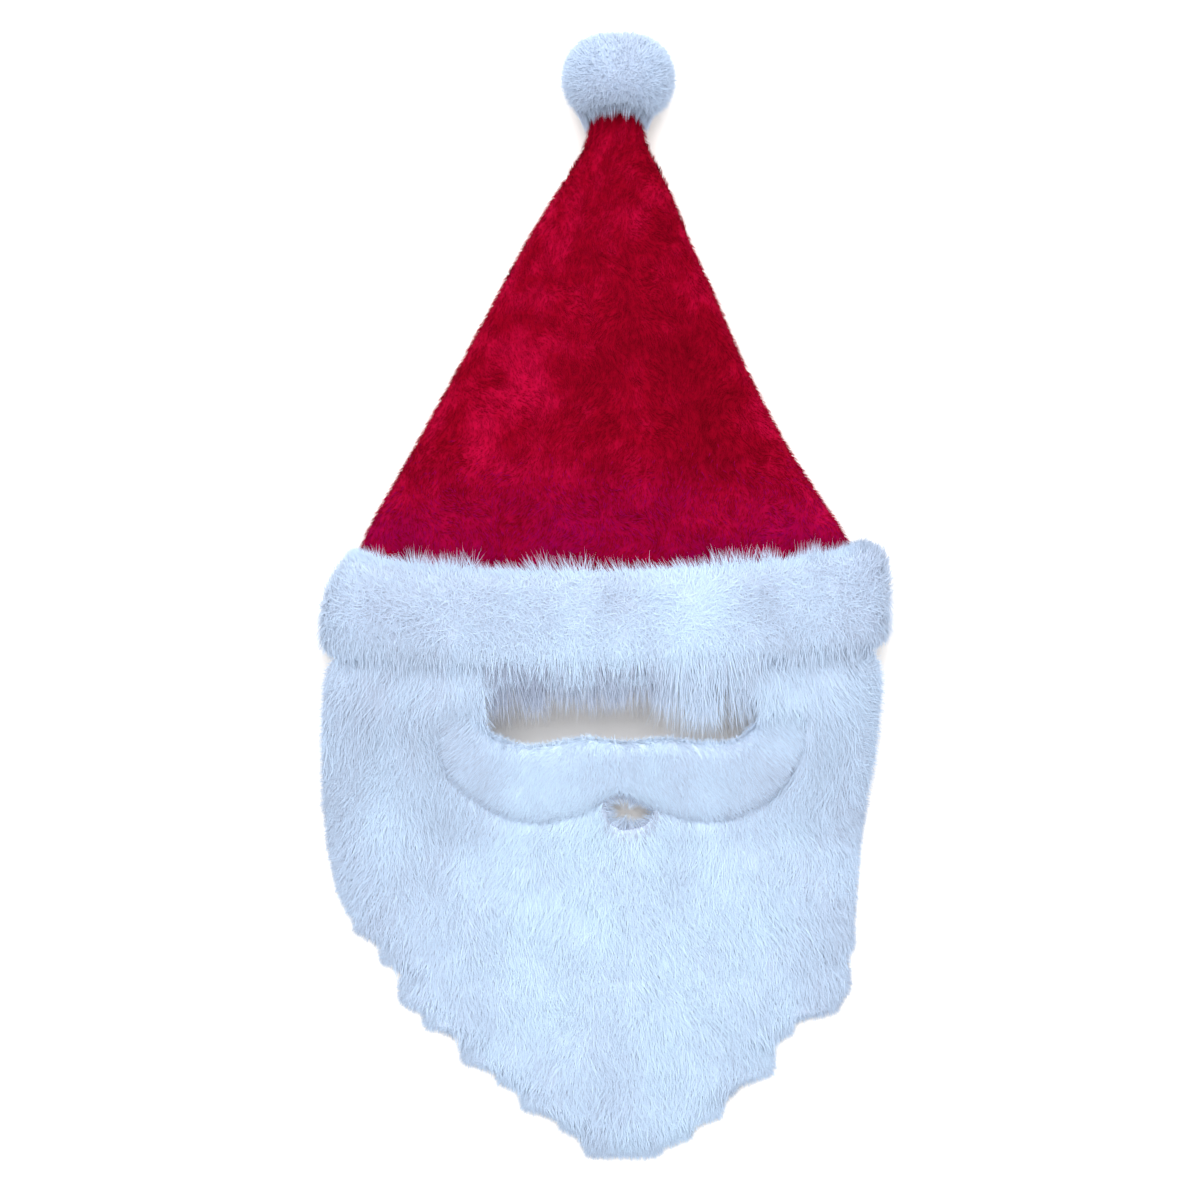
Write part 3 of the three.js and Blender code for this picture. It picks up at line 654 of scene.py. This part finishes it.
def bandVeil(random):  # hangs into the eye slot, longest at the right, in painted shade under the band that is lightest at the right
    count = band["veil"]
    angle = hemAngle(slot["x"] + slot["width"] / 2 * random.uniform(-1, 1, count))
    root = bandPlace(angle, random.uniform(-1, -0.84, count), random.uniform(0.1, 0.9, count))
    x, y = root[:, 0], root[:, 1]
    out = beardFacing(x, y)
    flowX = 0.9 * (softNoise(x, y, 11) - 0.5) + 0.15 * random.normal(size=count)
    length = (30 + 7 * ease(x, 5, 45)) * (0.7 + 0.6 * softNoise(x + 40, y, 16))
    length = length * random.uniform(0.3, 1.05, count)
    tip = lieOver(root, out, flowX, -np.ones(count), length, random.uniform(-32, -8, count))
    half = halfWidths(0.85 * band["fibreHalf"], random, count)
    return root, tip, out, half, mottled(furTone(x, y) - 0.44 + 0.28 * ease(x, 12, 45), random)


def makeBand():
    levels = np.sin(np.linspace(-np.pi / 2, np.pi / 2, band["levels"]))
    body, facing = bandBody(levels)
    inner = bandGrid(levels[::-1], 0, 0)
    points = np.concatenate([body[:, :-1], inner[:, :-1]]).reshape(-1, 3)
    count = 2 * band["levels"]
    faces = ringFaces(count + 1, band["rings"]) % (count * band["rings"])
    core = newPiece("band_core", points, faces)
    paint(core, furTone(points[:, 0], points[:, 1]) - bodyShade)
    finishPiece(core, furBody, "band")

    random = np.random.default_rng(34)
    cover = bandCover(random, levels, body, facing)
    fur = newFibres("band_fur", [cover, bandFringe(random), bandSkirt(random), bandVeil(random)], 0.88)
    finishPiece(fur, longFur)


# Beard: a backing sheet with dense pile that comes down from the hem to the floor, and loose fur over it

beard = {
    "topY": -32,
    "tipY": -292,
    "drop": 105,
    "cloth": 3,
    "rows": [  # y, left, right
        (-32, -134, 131), (-36, -141.5, 137.5), (-42, -146, 141.5), (-54, -147.5, 143), (-79, -149, 141),
        (-104, -149, 136.5), (-129, -146.5, 133), (-154, -141.5, 131), (-166, -135, 130), (-179, -122, 129),
        (-198, -100, 120), (-212, -88, 104), (-226, -73, 84), (-240, -54, 70), (-254, -38, 57),
        (-268, -18, 40), (-276, -4, 30),
    ],
    "edgeLocks": [  # tip x, tip y, lean in degrees, half width
        (-127, -177, -15, 8), (-113, -193, -18, 9), (-101, -215, -8, 10), (-90, -227, -14, 9),
        (-69, -245.5, -10, 10), (-52, -256, -12, 8), (-38, -270, -8, 9.5), (-18, -280.5, -8, 9),
        (-4, -294, -4, 10), (9, -294.5, 0, 14), (22, -293, 6, 10), (38, -285, 8, 8.5),
        (54, -274, 10, 9), (62, -261, 6, 8), (79, -252.5, 4, 10), (91, -231, 8, 8.5), (113, -219, 4, 12),
        (120, -210, 2, 8), (122, -188, 2, 8.5),
    ],
    "edgeEnd": -293.5,
    "edgeReach": 44,
    "edgeInset": 2.5,  # of the dense pile, from the tips of the fur
    "edgeFibres": 34000,
    "edgeThick": 1.6,
    "body": 6.6,
    "lumps": 2.4,
    "topRise": 1.5,  # closes the slit under the band's lower edge
    "groove": 0.8,  # how far the pile is pressed down beside the moustache
    "gridRows": 100,
    "gridColumns": 96,
    "fibres": 47500,
    "fibreLength": 13,
    "fibreHalf": 0.2,
    "splay": 0.0016,
}

slot = {"x": 7.5, "y": -58, "width": 142, "height": 40, "corner": 15}
mouth = {"x": 11, "y": -111.5, "halfX": 12, "halfY": 9.5, "fibres": 1200, "rimFibres": 300}
mouthMiddle = np.array([mouth["x"], mouth["y"]])

moustache = {
    "rows": [  # x, y, half width
        (-76, -50, 9), (-77, -66, 13), (-70, -82, 16.5), (-55, -92.5, 18.8), (-38, -97, 20.2),
        (-20, -94, 20), (-8, -89.6, 18), (8, -88.3, 14.2), (27, -91, 19), (44, -95, 20.8),
        (58, -95.4, 20.6), (74, -90, 18.6), (87, -77, 16), (93, -63, 13), (92, -50, 9),
    ],
    "height": 7.8,
    "lowEnds": 0.3,  # share of the height that is left where the two arms run out under the fur
    "coverFrom": -60,
    "round": 1.6,
    "end": 7,
    "fullHalf": 15,
    "nap": 0.5,
    "stations": 120,
    "sides": 26,
    "fibres": 20000,
    "edgeFibres": 2000,
    "fibreLength": 5.5,
    "fibreHalf": 0.18,
    "lowShade": 0.2,
}


def backingLow(x, y):  # height of the backing's underside
    hemLow, hemHeight = crown["rows"][0][3:]
    out = np.clip(np.abs(x - hemMiddleX) / hemHalf, 0, 0.97) ** (1 / crown["square"])
    side = hemLow + crown["sideShare"] * hemHeight
    front = side + (hemLow + hemHeight - side) * np.sqrt(1 - out * out) ** crown["dome"]
    fall = (beard["topY"] + bow(x, beard["topY"]) - y) / beard["drop"]
    return (front - beard["cloth"]) * (1 - ease(fall, 0, 1))


def beardBow(x, y):  # how far the band's bow still carries the beard along Y
    return bow(x, beard["topY"]) * (1 - ease(-y, -beard["topY"], beard["drop"]))


def moustacheLine():  # smooth line through the rows, as points and half widths
    rows = np.array(moustache["rows"], float)
    padded = np.concatenate([2 * rows[:1] - rows[1:2], rows, 2 * rows[-1:] - rows[-2:-1]])
    at = np.linspace(0, len(rows) - 1, moustache["stations"])
    i = np.minimum(at.astype(int), len(rows) - 2)
    t = (at - i)[:, None]
    a, b, c, d = (padded[i + k] for k in range(4))
    bend, twist = 2 * a - 5 * b + 4 * c - d, 3 * b - a - 3 * c + d
    return 0.5 * (2 * b + (c - a) * t + bend * t ** 2 + twist * t ** 3)


def besideMoustache(x, y):  # distance outside the moustache's edge, less than zero under it
    line = moustacheLine()
    away = np.hypot(x[..., None] - line[:, 0], y[..., None] - line[:, 1]) - line[:, 2]
    return away.min(-1)


def furCover(x, y, soft):  # 1 where the beard's fur lies over the arms of the moustache
    line = moustache["coverFrom"] + 12 * (softNoise(x, 0.2 * y, 9) - 0.5)
    return ease(y, line - soft, line + soft)


def mouthShare(x, y, around=0):  # distance from the mouth's middle, 1 on its rim
    awayX, awayY = x - mouth["x"], y - mouth["y"]
    return np.hypot(awayX / (mouth["halfX"] + around), awayY / (mouth["halfY"] + around))


def isBare(x, y, around):  # where the slot, the mouth or the moustache leaves no room for fur
    corner = slot["corner"]
    dx = np.maximum(np.abs(x - slot["x"]) - slot["width"] / 2 + corner, 0)
    dy = np.maximum(np.abs(y - slot["y"]) - slot["height"] / 2 + corner, 0)
    inSlot = np.hypot(dx, dy) < corner + around
    inMouth = mouthShare(x, y, around) < 1
    return inSlot | inMouth | ((besideMoustache(x, y) < -1.5) & (furCover(x, y, 1) < 0.5))


def beardSpan(y):  # the fur's left and right edges, from the backing's rows and the lobes of its outline
    left, right = softRows(beard["rows"], y, 3)
    inSheet = y > beard["rows"][-1][0]
    left, right = np.where(inSheet, left, np.inf), np.where(inSheet, right, -np.inf)
    for tipX, tipY, lean, half in beard["edgeLocks"]:
        back = y - tipY
        inLobe = (back > 0) & (back < beard["edgeReach"])
        wide = half * np.sqrt(np.clip(1 - (1 - np.clip(back / (1.1 * half), 0, 1)) ** 2, 0, 1))
        wide = wide * (1 - ease(back, 0.3 * beard["edgeReach"], beard["edgeReach"]))
        middle = tipX - np.tan(np.radians(lean)) * back
        left = np.where(inLobe, np.minimum(left, middle - wide), left)
        right = np.where(inLobe, np.maximum(right, middle + wide), right)
    return left, right


def softSpan(y):  # the same edges, smoothed along Y
    spans = [beardSpan(np.maximum(y + step, beard["edgeEnd"])) for step in (-2, -1, 0, 1, 2)]
    return [sum(sides) / len(spans) for sides in zip(*spans)]


def pileLump(x, y):
    return beard["lumps"] * (softNoise(x, 0.55 * y, 17) - 0.5)


def backingGrid(bodied):  # the upper side with its dense pile, or the plain underside
    across = np.linspace(0, 1, beard["gridColumns"])
    down = np.linspace(beard["topY"], beard["tipY"], beard["gridRows"])
    y, share = np.meshgrid(down, across, indexing="ij")
    left, right = softSpan(y)
    left, right = left + beard["edgeInset"], right - beard["edgeInset"]
    x = left + (right - left) * share
    level = y - band["gap"] + beardBow(x, y)
    low = backingLow(x, level)
    if not bodied:
        return np.stack([x, level, low + lieClear], -1)
    inside = ease(np.minimum(share, 1 - share) * (right - left), 0, 18) * ease(y - beard["tipY"], 0, 18)
    below = ease(beard["topY"] - y, 0, 30)
    away = besideMoustache(x, level)
    lump = pileLump(x, level)
    groove = beard["groove"] * np.exp(-(np.maximum(away, 0) / 5) ** 2) * ease(-level, 62, 86)
    full = beard["body"] - beard["edgeThick"] + lump - groove
    thick = beard["edgeThick"] + (beard["topRise"] + (full - beard["topRise"]) * below) * inside
    thick = thick + (beard["cloth"] - thick) * ease(-away, 2.5, 6) * (1 - furCover(x, level, 6))
    return np.stack([x, level, low + thick], -1)


def cutThrough(piece, cutter):
    bpy.ops.object.select_all(action="DESELECT")
    bpy.context.view_layer.objects.active = piece
    hole = piece.modifiers.new("hole", "BOOLEAN")
    hole.operation = "DIFFERENCE"
    hole.object = cutter
    bpy.ops.object.modifier_apply(modifier=hole.name)
    bpy.data.objects.remove(cutter)
    piece.select_set(True)
    bpy.ops.object.shade_smooth_by_angle(angle=0.7)


def slotCutter():  # a box with its four upright edges rounded
    bpy.ops.object.select_all(action="DESELECT")
    place = (np.array([slot["x"], slot["y"], 0]) + hatShift) * mm
    bpy.ops.mesh.primitive_cube_add(size=1, location=place)
    cutter = bpy.context.object
    cutter.scale = (slot["width"] * mm, slot["height"] * mm, 0.3)
    bpy.ops.object.transform_apply(location=True, scale=True)
    bpy.ops.object.mode_set(mode="EDIT")
    bpy.ops.mesh.select_all(action="DESELECT")
    bpy.ops.object.mode_set(mode="OBJECT")
    for edge in cutter.data.edges:
        a, b = (cutter.data.vertices[v].co for v in edge.vertices)
        edge.select = abs(a.z - b.z) > 0.1
    bpy.ops.object.mode_set(mode="EDIT")
    bpy.ops.mesh.select_mode(type="EDGE")
    bpy.ops.mesh.bevel(offset=slot["corner"] * mm, segments=10)
    bpy.ops.object.mode_set(mode="OBJECT")
    return cutter


def mouthEdge(turn):  # its uneven outline, round its middle
    share = 1 + 0.06 * np.cos(2 * turn + 1.2) + 0.06 * np.cos(3 * turn) + 0.03 * np.cos(7 * turn)
    return np.stack([mouth["halfX"] * np.cos(turn), mouth["halfY"] * np.sin(turn)], -1) * share[:, None]


def mouthCutter():
    bpy.ops.object.select_all(action="DESELECT")
    place = (np.array([mouth["x"], mouth["y"], 0]) + hatShift) * mm
    bpy.ops.mesh.primitive_cylinder_add(vertices=40, radius=1, depth=0.3, location=place)
    bpy.ops.object.transform_apply(location=True)
    cutter = bpy.context.object
    for corner in cutter.data.vertices:
        turn = np.arctan2([corner.co.y - place[1]], [corner.co.x - place[0]])
        corner.co.xy = place[:2] + mouthEdge(turn)[0] * mm
    return cutter


def makeBacking():
    upper, lower = backingGrid(True), backingGrid(False)
    rows, columns = upper.shape[:2]
    rim = np.concatenate([
        np.arange(columns), np.arange(1, rows) * columns + columns - 1,
        (rows - 1) * columns + np.arange(columns - 2, -1, -1), np.arange(rows - 2, 0, -1) * columns,
    ])
    i, j = np.meshgrid(np.arange(rows - 1), np.arange(columns - 1), indexing="ij")
    first = i * columns + j
    top = np.stack([first, first + columns, first + columns + 1, first + 1], -1).reshape(-1, 4)
    under = top[:, ::-1] + rows * columns
    after = np.roll(rim, -1)
    edge = np.stack([rim, after, after + rows * columns, rim + rows * columns], -1)
    points = np.concatenate([upper, lower]).reshape(-1, 3)
    backing = newPiece("beard_backing", points, top, under, edge)
    x, y = points[:, 0], points[:, 1]
    # painted shade round the rim of the mouth hole, over the shade under the fibres
    paint(backing, furTone(x, y) - bodyShade - 0.4 * (1 - ease(mouthShare(x, y), 1.05, 1.5)))
    cutThrough(backing, slotCutter())
    cutThrough(backing, mouthCutter())
    finishPiece(backing, furBody, "beard")
    return backing


def beardFacing(x, y):
    step = 0.5
    slopeX = (backingLow(x + step, y) - backingLow(x - step, y)) / (2 * step)
    slopeY = (backingLow(x, y + step) - backingLow(x, y - step)) / (2 * step)
    return unit(np.stack([-slopeX, -slopeY, np.ones_like(x)], -1))


def beardCover(random):
    grid = backingGrid(True)
    facing = gridNormals(grid, (beard["gridRows"] // 2, beard["gridColumns"] // 2))
    middles = (grid[:-1, :-1] + grid[1:, 1:]) / 2
    bare = isBare(middles[..., 0], middles[..., 1], -2.5)
    spots = scatter(grid, int(1.1 * beard["fibres"]), random, np.where(bare, 0.0, 1.0))
    root = gridAt(grid, spots)
    x, y = root[:, 0], root[:, 1]
    aboveMouth = (np.abs(x - mouth["x"]) < mouth["halfX"]) & (np.abs(y - mouth["y"] - 10) < 11)
    grows = np.flatnonzero(~isBare(x, y, 0.2) & ~aboveMouth)[:beard["fibres"]]
    spots, root = [part[grows] for part in spots], root[grows]
    x, y, count = root[:, 0], root[:, 1], len(root)
    out = unit(0.5 * gridAt(facing, spots) + beardFacing(x, y))
    left, right = softSpan(y)
    outward = ease(x, right - 22, right) - ease(-x, -left - 22, -left)
    flowX = beard["splay"] * x + (softNoise(x, y, 24) - 0.5) + 0.7 * (softNoise(x + 70, y, 9) - 0.5)
    flowX = flowX + 0.35 * random.normal(size=count) + 0.35 * outward
    length = beard["fibreLength"] * random.uniform(0.6, 1.15, count)
    length = length * (0.75 + 0.5 * softNoise(x + 9, y, 15))

    # What would hang over the outline is cut short
    endX, endY = x + flowX * length, y - length
    left, right = softSpan(np.maximum(endY, beard["tipY"]))
    overhang = np.maximum(np.maximum(left - endX, endX - right), beard["tipY"] - endY)
    length = np.maximum(3, length * (1 - 0.8 * ease(overhang, -1, 8)))
    tip = lieOver(root, out, flowX, -np.ones(count), length, random.uniform(6, 26, count))
    half = halfWidths(beard["fibreHalf"], random, count)
    return root, tip, out, half, mottled(furTone(x, y), random)


def mouthRimFur(random):  # falls away over the lower rim of the mouth hole, darkened with painted shade
    count = mouth["rimFibres"]
    turn = random.uniform(0.95 * np.pi, 2.05 * np.pi, count)
    x, y = (mouthMiddle + mouthEdge(turn) * random.uniform(1.0, 1.25, count)[:, None]).T
    root = np.stack([x, y, backingLow(x, y) + beard["body"] + pileLump(x, y) - 0.1], -1)
    out = beardFacing(x, y)
    length = beard["fibreLength"] * random.uniform(0.35, 0.9, count)
    flowX = 0.25 * random.normal(size=count)
    tip = lieOver(root, out, flowX, -np.ones(count), length, random.uniform(4, 20, count))
    half = halfWidths(beard["fibreHalf"], random, count)
    return root, tip, out, half, mottled(furTone(x, y) - 0.42, random)


def mouthVeil(random):  # leans in over the mouth hole, least at its right end, darkened with painted shade, most where it is rooted on top
    count = mouth["fibres"]
    turn = random.uniform(0, 2 * np.pi, count)
    rim = mouthEdge(turn)
    onTop = random.random(count) < 0.3
    reach = np.where(onTop, random.uniform(1.0, 1.45, count), random.uniform(1.0, 1.2, count))
    x, y = (mouthMiddle + rim * reach[:, None]).T
    closing = 0.3 + 0.6 * softNoise(9 * np.cos(turn), 9 * np.sin(turn), 4)
    closing = closing * (1 - 0.5 * ease(np.cos(turn), 0.5, 1)) * random.uniform(0.3, 1.1, count)
    end = mouthMiddle + rim * (1 - closing)[:, None] + random.normal(0, 0.9, (count, 2))
    low, top = backingLow(x, y), beard["body"] + pileLump(x, y)
    height = np.where(onTop, top - 0.1, top * random.uniform(0.3, 1, count))
    root, tip = np.stack([x, y, low + height], -1), np.column_stack([end, low + 0.7 * height])
    half = halfWidths(beard["fibreHalf"], random, count)
    return root, tip, beardFacing(x, y), half, mottled(furTone(x, y) - np.where(onTop, 0.5, 0.25), random)


def makeBeardFur():
    random = np.random.default_rng(55)
    fur = newFibres("beard_fur", [beardCover(random), mouthRimFur(random), mouthVeil(random)], 0.88)
    finishPiece(fur, longFur)
    return fur


def makeBeardEdge():  # soft fur all along the scalloped outline
    random = np.random.default_rng(89)
    count = beard["edgeFibres"]
    y = np.linspace(beard["topY"] - 1, beard["tipY"], 700)
    left, right = softSpan(y)
    x = np.concatenate([left, right[::-1]])
    y = np.concatenate([y, y[::-1]])
    run = np.concatenate([[0], np.cumsum(np.hypot(np.diff(x), np.diff(y)))])
    at = random.uniform(0, run[-1], count)
    edge = np.stack([np.interp(at, run, x), np.interp(at, run, y)], -1)
    reach = 3.0  # mm each way over which the edge's direction is taken
    ahead = np.stack([np.interp(at + reach, run, v) - np.interp(at - reach, run, v) for v in (x, y)], -1)
    outward = unit(np.stack([ahead[:, 1], -ahead[:, 0]], -1))
    inside = random.uniform(1, 13, count)
    deep = random.uniform(0.05, 1, count)
    a = edge - outward * inside[:, None]
    c = edge + outward * random.uniform(-3.5, 1.2, count)[:, None] + random.normal(0, 1.2, (count, 2))
    c[:, 1] -= 2.5 * random.random(count)
    bowed = beardBow(a[:, 0], a[:, 1])
    low = backingLow(a[:, 0], a[:, 1] + bowed)
    full = ease(inside - beard["edgeInset"], 0, 18)
    thick = beard["edgeThick"] + (beard["body"] - beard["edgeThick"]) * full
    root = np.column_stack([a[:, 0], a[:, 1] + bowed, low + thick * deep])
    height = low + 0.5 + 3.2 * deep * random.uniform(0.4, 1, count)
    tip = np.column_stack([c[:, 0], c[:, 1] + bowed, height])
    out = beardFacing(root[:, 0], root[:, 1])
    out[:, :2] += (0.5 * (1 - inside / 16))[:, None] * outward
    # painted shade, a little, along the outline where the fur turns down
    tone = mottled(furTone(a[:, 0], a[:, 1]) - 0.08, random)
    half = beard["fibreHalf"] * random.uniform(0.8, 1.2, count)
    fur = newFibres("beard_edge_fur", [(root, tip, unit(out), half, tone)], 0.88)
    finishPiece(fur, longFur)
    return fur


makeBand()
backing = makeBacking()
makeBeardFur()
makeBeardEdge()


# Moustache: a raised strip that curls round the lower side of the slot

def moustacheGrid(sink):  # stations by sides, from the slot's edge over the top to the outer edge
    line = moustacheLine()
    ahead = unit(np.gradient(line[:, :2], axis=0))
    beside = np.stack([-ahead[:, 1], ahead[:, 0]], -1)
    turn = np.linspace(0, np.pi, moustache["sides"])
    half = line[:, 2:] - sink
    share = moustache["lowEnds"] + (1 - moustache["lowEnds"]) * ease(-line[:, 1:2], 52, 90)
    rise = moustache["height"] * share * np.minimum(1, np.sqrt(line[:, 2:] / moustache["fullHalf"])) - sink
    place = line[:, None, :2] + beside[:, None] * (half * np.cos(turn))[..., None]
    x, y = place[..., 0], place[..., 1]
    height = beard["cloth"] + band["gap"] + rise * (1 - (1 - np.sin(turn)) ** moustache["round"])
    return np.stack([x, y, backingLow(x, y) + height], -1)


def moustacheCover(random, dome, facing, shade):
    spots = scatter(dome, moustache["fibres"], random)
    root, out = gridAt(dome, spots), unit(gridAt(facing, spots))
    x, y, count = root[:, 0], root[:, 1], len(root)
    flowX = 0.012 * (x - 8) + 0.9 * (softNoise(x, y, 14) - 0.5) + 0.3 * random.normal(size=count)
    length = moustache["fibreLength"] * random.uniform(0.7, 1.15, count)
    length = length * (1 + 0.5 * ease(y, -78, -55))
    tip = lieOver(root, out, flowX, -np.ones(count), length, random.uniform(6, 28, count))
    half = halfWidths(moustache["fibreHalf"], random, count)
    # painted shade: the nap a little darker, besides the painted shade along its lower edge
    return root, tip, out, half, mottled(furTone(x, y) - 0.08 - shade[spots[1]], random)


def moustacheUpperEdge(random, dome, facing):  # leans a little into the slot
    stations, sides = dome.shape[:2]
    count = moustache["edgeFibres"]
    i, j = random.integers(0, stations - 1, count), random.integers(0, 3, count)
    spots = i, j, random.random(count)[:, None], random.random(count)[:, None]
    root, out = gridAt(dome, spots), unit(gridAt(facing, spots))
    slotward = unit((dome[i, 0] - dome[i, sides // 2]) * (1, 1, 0)) + 0.4 * random.normal(size=(count, 3))
    length = 0.9 * moustache["fibreLength"] * random.uniform(0.4, 1.15, count)
    tip = lieOver(root, out, slotward[:, 0], slotward[:, 1], length, random.uniform(10, 40, count))
    half = halfWidths(moustache["fibreHalf"], random, count)
    return root, tip, out, half, mottled(furTone(root[:, 0], root[:, 1]) - 0.1, random)


def makeMoustache():
    dome = moustacheGrid(moustache["nap"])
    stations, sides = dome.shape[:2]
    end = np.array([0, moustache["end"] / 2, 0])
    points = np.concatenate([dome.reshape(-1, 3), [dome[0].mean(0) + end, dome[-1].mean(0) + end]])
    last = (stations - 1) * sides
    caps = [fanFaces(0, sides, len(points) - 2)[:, ::-1], fanFaces(last, sides, len(points) - 1)]
    pad = newPiece("moustache_pad", points, ringFaces(stations, sides), *caps)
    bpy.ops.object.select_all(action="DESELECT")
    pad.select_set(True)
    bpy.context.view_layer.objects.active = pad
    bpy.ops.object.shade_smooth_by_angle(angle=0.9)
    shade = moustache["lowShade"] * ease(np.linspace(0, np.pi, sides), 2.2, 3.1)
    shades = np.append(np.tile(shade, stations), [0, 0])
    paint(pad, furTone(points[:, 0], points[:, 1]) - bodyShade - shades)
    finishPiece(pad, furBody, "moustache")

    random = np.random.default_rng(144)
    facing = gridNormals(dome, (stations // 2, sides // 2))
    cover = moustacheCover(random, dome, facing, shade)
    nap = newFibres("moustache_nap", [cover, moustacheUpperEdge(random, dome, facing)], 0.84)
    finishPiece(nap, longFur)


makeMoustache()


# Pompom: a squashed ball of fur at the tip

pompom = {
    "centre": (5.8, 269, 23.5),
    "halves": (31.3, 24.6, 26.5),
    "bodyShare": 0.8,
    "lumps": 0.05,
    "square": 2.3,  # 2 is an ellipse, more is squarer
    # painted shade: the whole pompom a little darker, as less light reaches it at the tip
    "paintedShade": 0.1,
    "pinch": 0.22,  # where the crown is gathered into it
    "gatherY": 246,
    "skirtEnd": 252,
    "fibres": 20000,
    "skirt": 4000,
    "fibreLength": 8,
    "fibreHalf": 0.2,
}


def pompomShape(way):  # point of the trimmed surface in each direction, with the ball's middle at zero
    power = pompom["square"]
    size = (np.abs(way) ** power).sum(-1, keepdims=True) ** (-1 / power)
    return way * size * pompom["halves"]


def pompomPinch(way):
    gather = unit(np.array([-0.04, -1, 0.35]))
    return np.exp(-((way - gather) ** 2).sum(-1) / 0.3)


def pompomBody(way):
    lump = pompom["lumps"] * (softNoise(30 * way[:, 0] + 13 * way[:, 2], 30 * way[:, 1], 11) - 0.5)
    share = pompom["bodyShare"] + lump - pompom["pinch"] * pompomPinch(way)
    return pompomShape(way) * share[:, None] + pompom["centre"]


def pompomCover(random):  # stands out all round and is trimmed to the ball's shape
    way = unit(random.normal(size=(pompom["fibres"], 3)))
    root = pompomBody(way)
    drift = unit(way + 0.45 * random.normal(size=way.shape))
    length = pompom["fibreLength"] * random.uniform(0.6, 1.1, len(way)) * (1 - 0.7 * pompomPinch(way))
    reach = root + length[:, None] * drift - pompom["centre"]
    limit = np.linalg.norm(pompomShape(unit(reach)), axis=1) * random.uniform(0.92, 1.02, len(way))
    tip = pompom["centre"] + reach * np.minimum(1, limit / np.linalg.norm(reach, axis=1))[:, None]
    half = halfWidths(pompom["fibreHalf"], random, len(way))
    tone = mottled(furTone(root[:, 0], root[:, 1]) - pompom["paintedShade"], random, 0.2)
    return root, tip, unit(way + (0, 0.1, 0.45)), half, tone


def pompomSkirt(random):  # gathered in with the crown's tip, it runs out over it, furthest at the two sides
    count = pompom["skirt"]
    angle = random.uniform(0, 2 * np.pi, count)
    streak = softNoise(60 * np.cos(angle), 60 * np.sin(angle), 5)
    aside = np.abs(np.cos(angle))
    end = pompom["skirtEnd"] - 6 * aside ** 4 - 10 * (0.3 + 0.7 * streak) * random.random(count) ** 1.6
    tip = crownPoint(end, angle, 1.6 * aside ** 2 - 0.4 - 1.2 * random.random(count))
    gather = np.full(count, float(pompom["gatherY"]))
    root = crownPoint(gather, angle, -3.5 - 4 * random.random(count))
    out = unit(root - crownPoint(gather, angle, 4))
    root[:, 1] = crownTipY + 9 * random.random(count)
    half = 0.7 * pompom["fibreHalf"] * random.uniform(0.6, 1.2, count)
    # painted shade, a little more, where it lies in under the ball
    tone = mottled(furTone(root[:, 0], root[:, 1]) - pompom["paintedShade"] - 0.1, random, 0.5)
    return root, tip, out, half, tone


def makePompom():
    bpy.ops.object.select_all(action="DESELECT")
    bpy.ops.mesh.primitive_ico_sphere_add(subdivisions=5, radius=1)
    core = bpy.context.object
    core.name = "pompom_core"
    ball = np.empty(len(core.data.vertices) * 3)
    core.data.vertices.foreach_get("co", ball)
    shape = pompomBody(unit(ball.reshape(-1, 3)))
    shape[:, 2] = np.maximum(shape[:, 2], 0)
    core.data.vertices.foreach_set("co", ((shape + hatShift) * mm).ravel())
    core.data.update()
    bpy.ops.object.shade_smooth()
    paint(core, furTone(shape[:, 0], shape[:, 1]) - pompom["paintedShade"])
    finishPiece(core, furBody, "pompom")

    random = np.random.default_rng(233)
    fur = newFibres("pompom_fur", [pompomCover(random), pompomSkirt(random)], 0.92)
    finishPiece(fur, longFur)


makePompom()

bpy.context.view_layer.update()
total = sum(sum(p.loop_total - 2 for p in o.data.polygons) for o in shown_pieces())
print("triangles shown:", total)
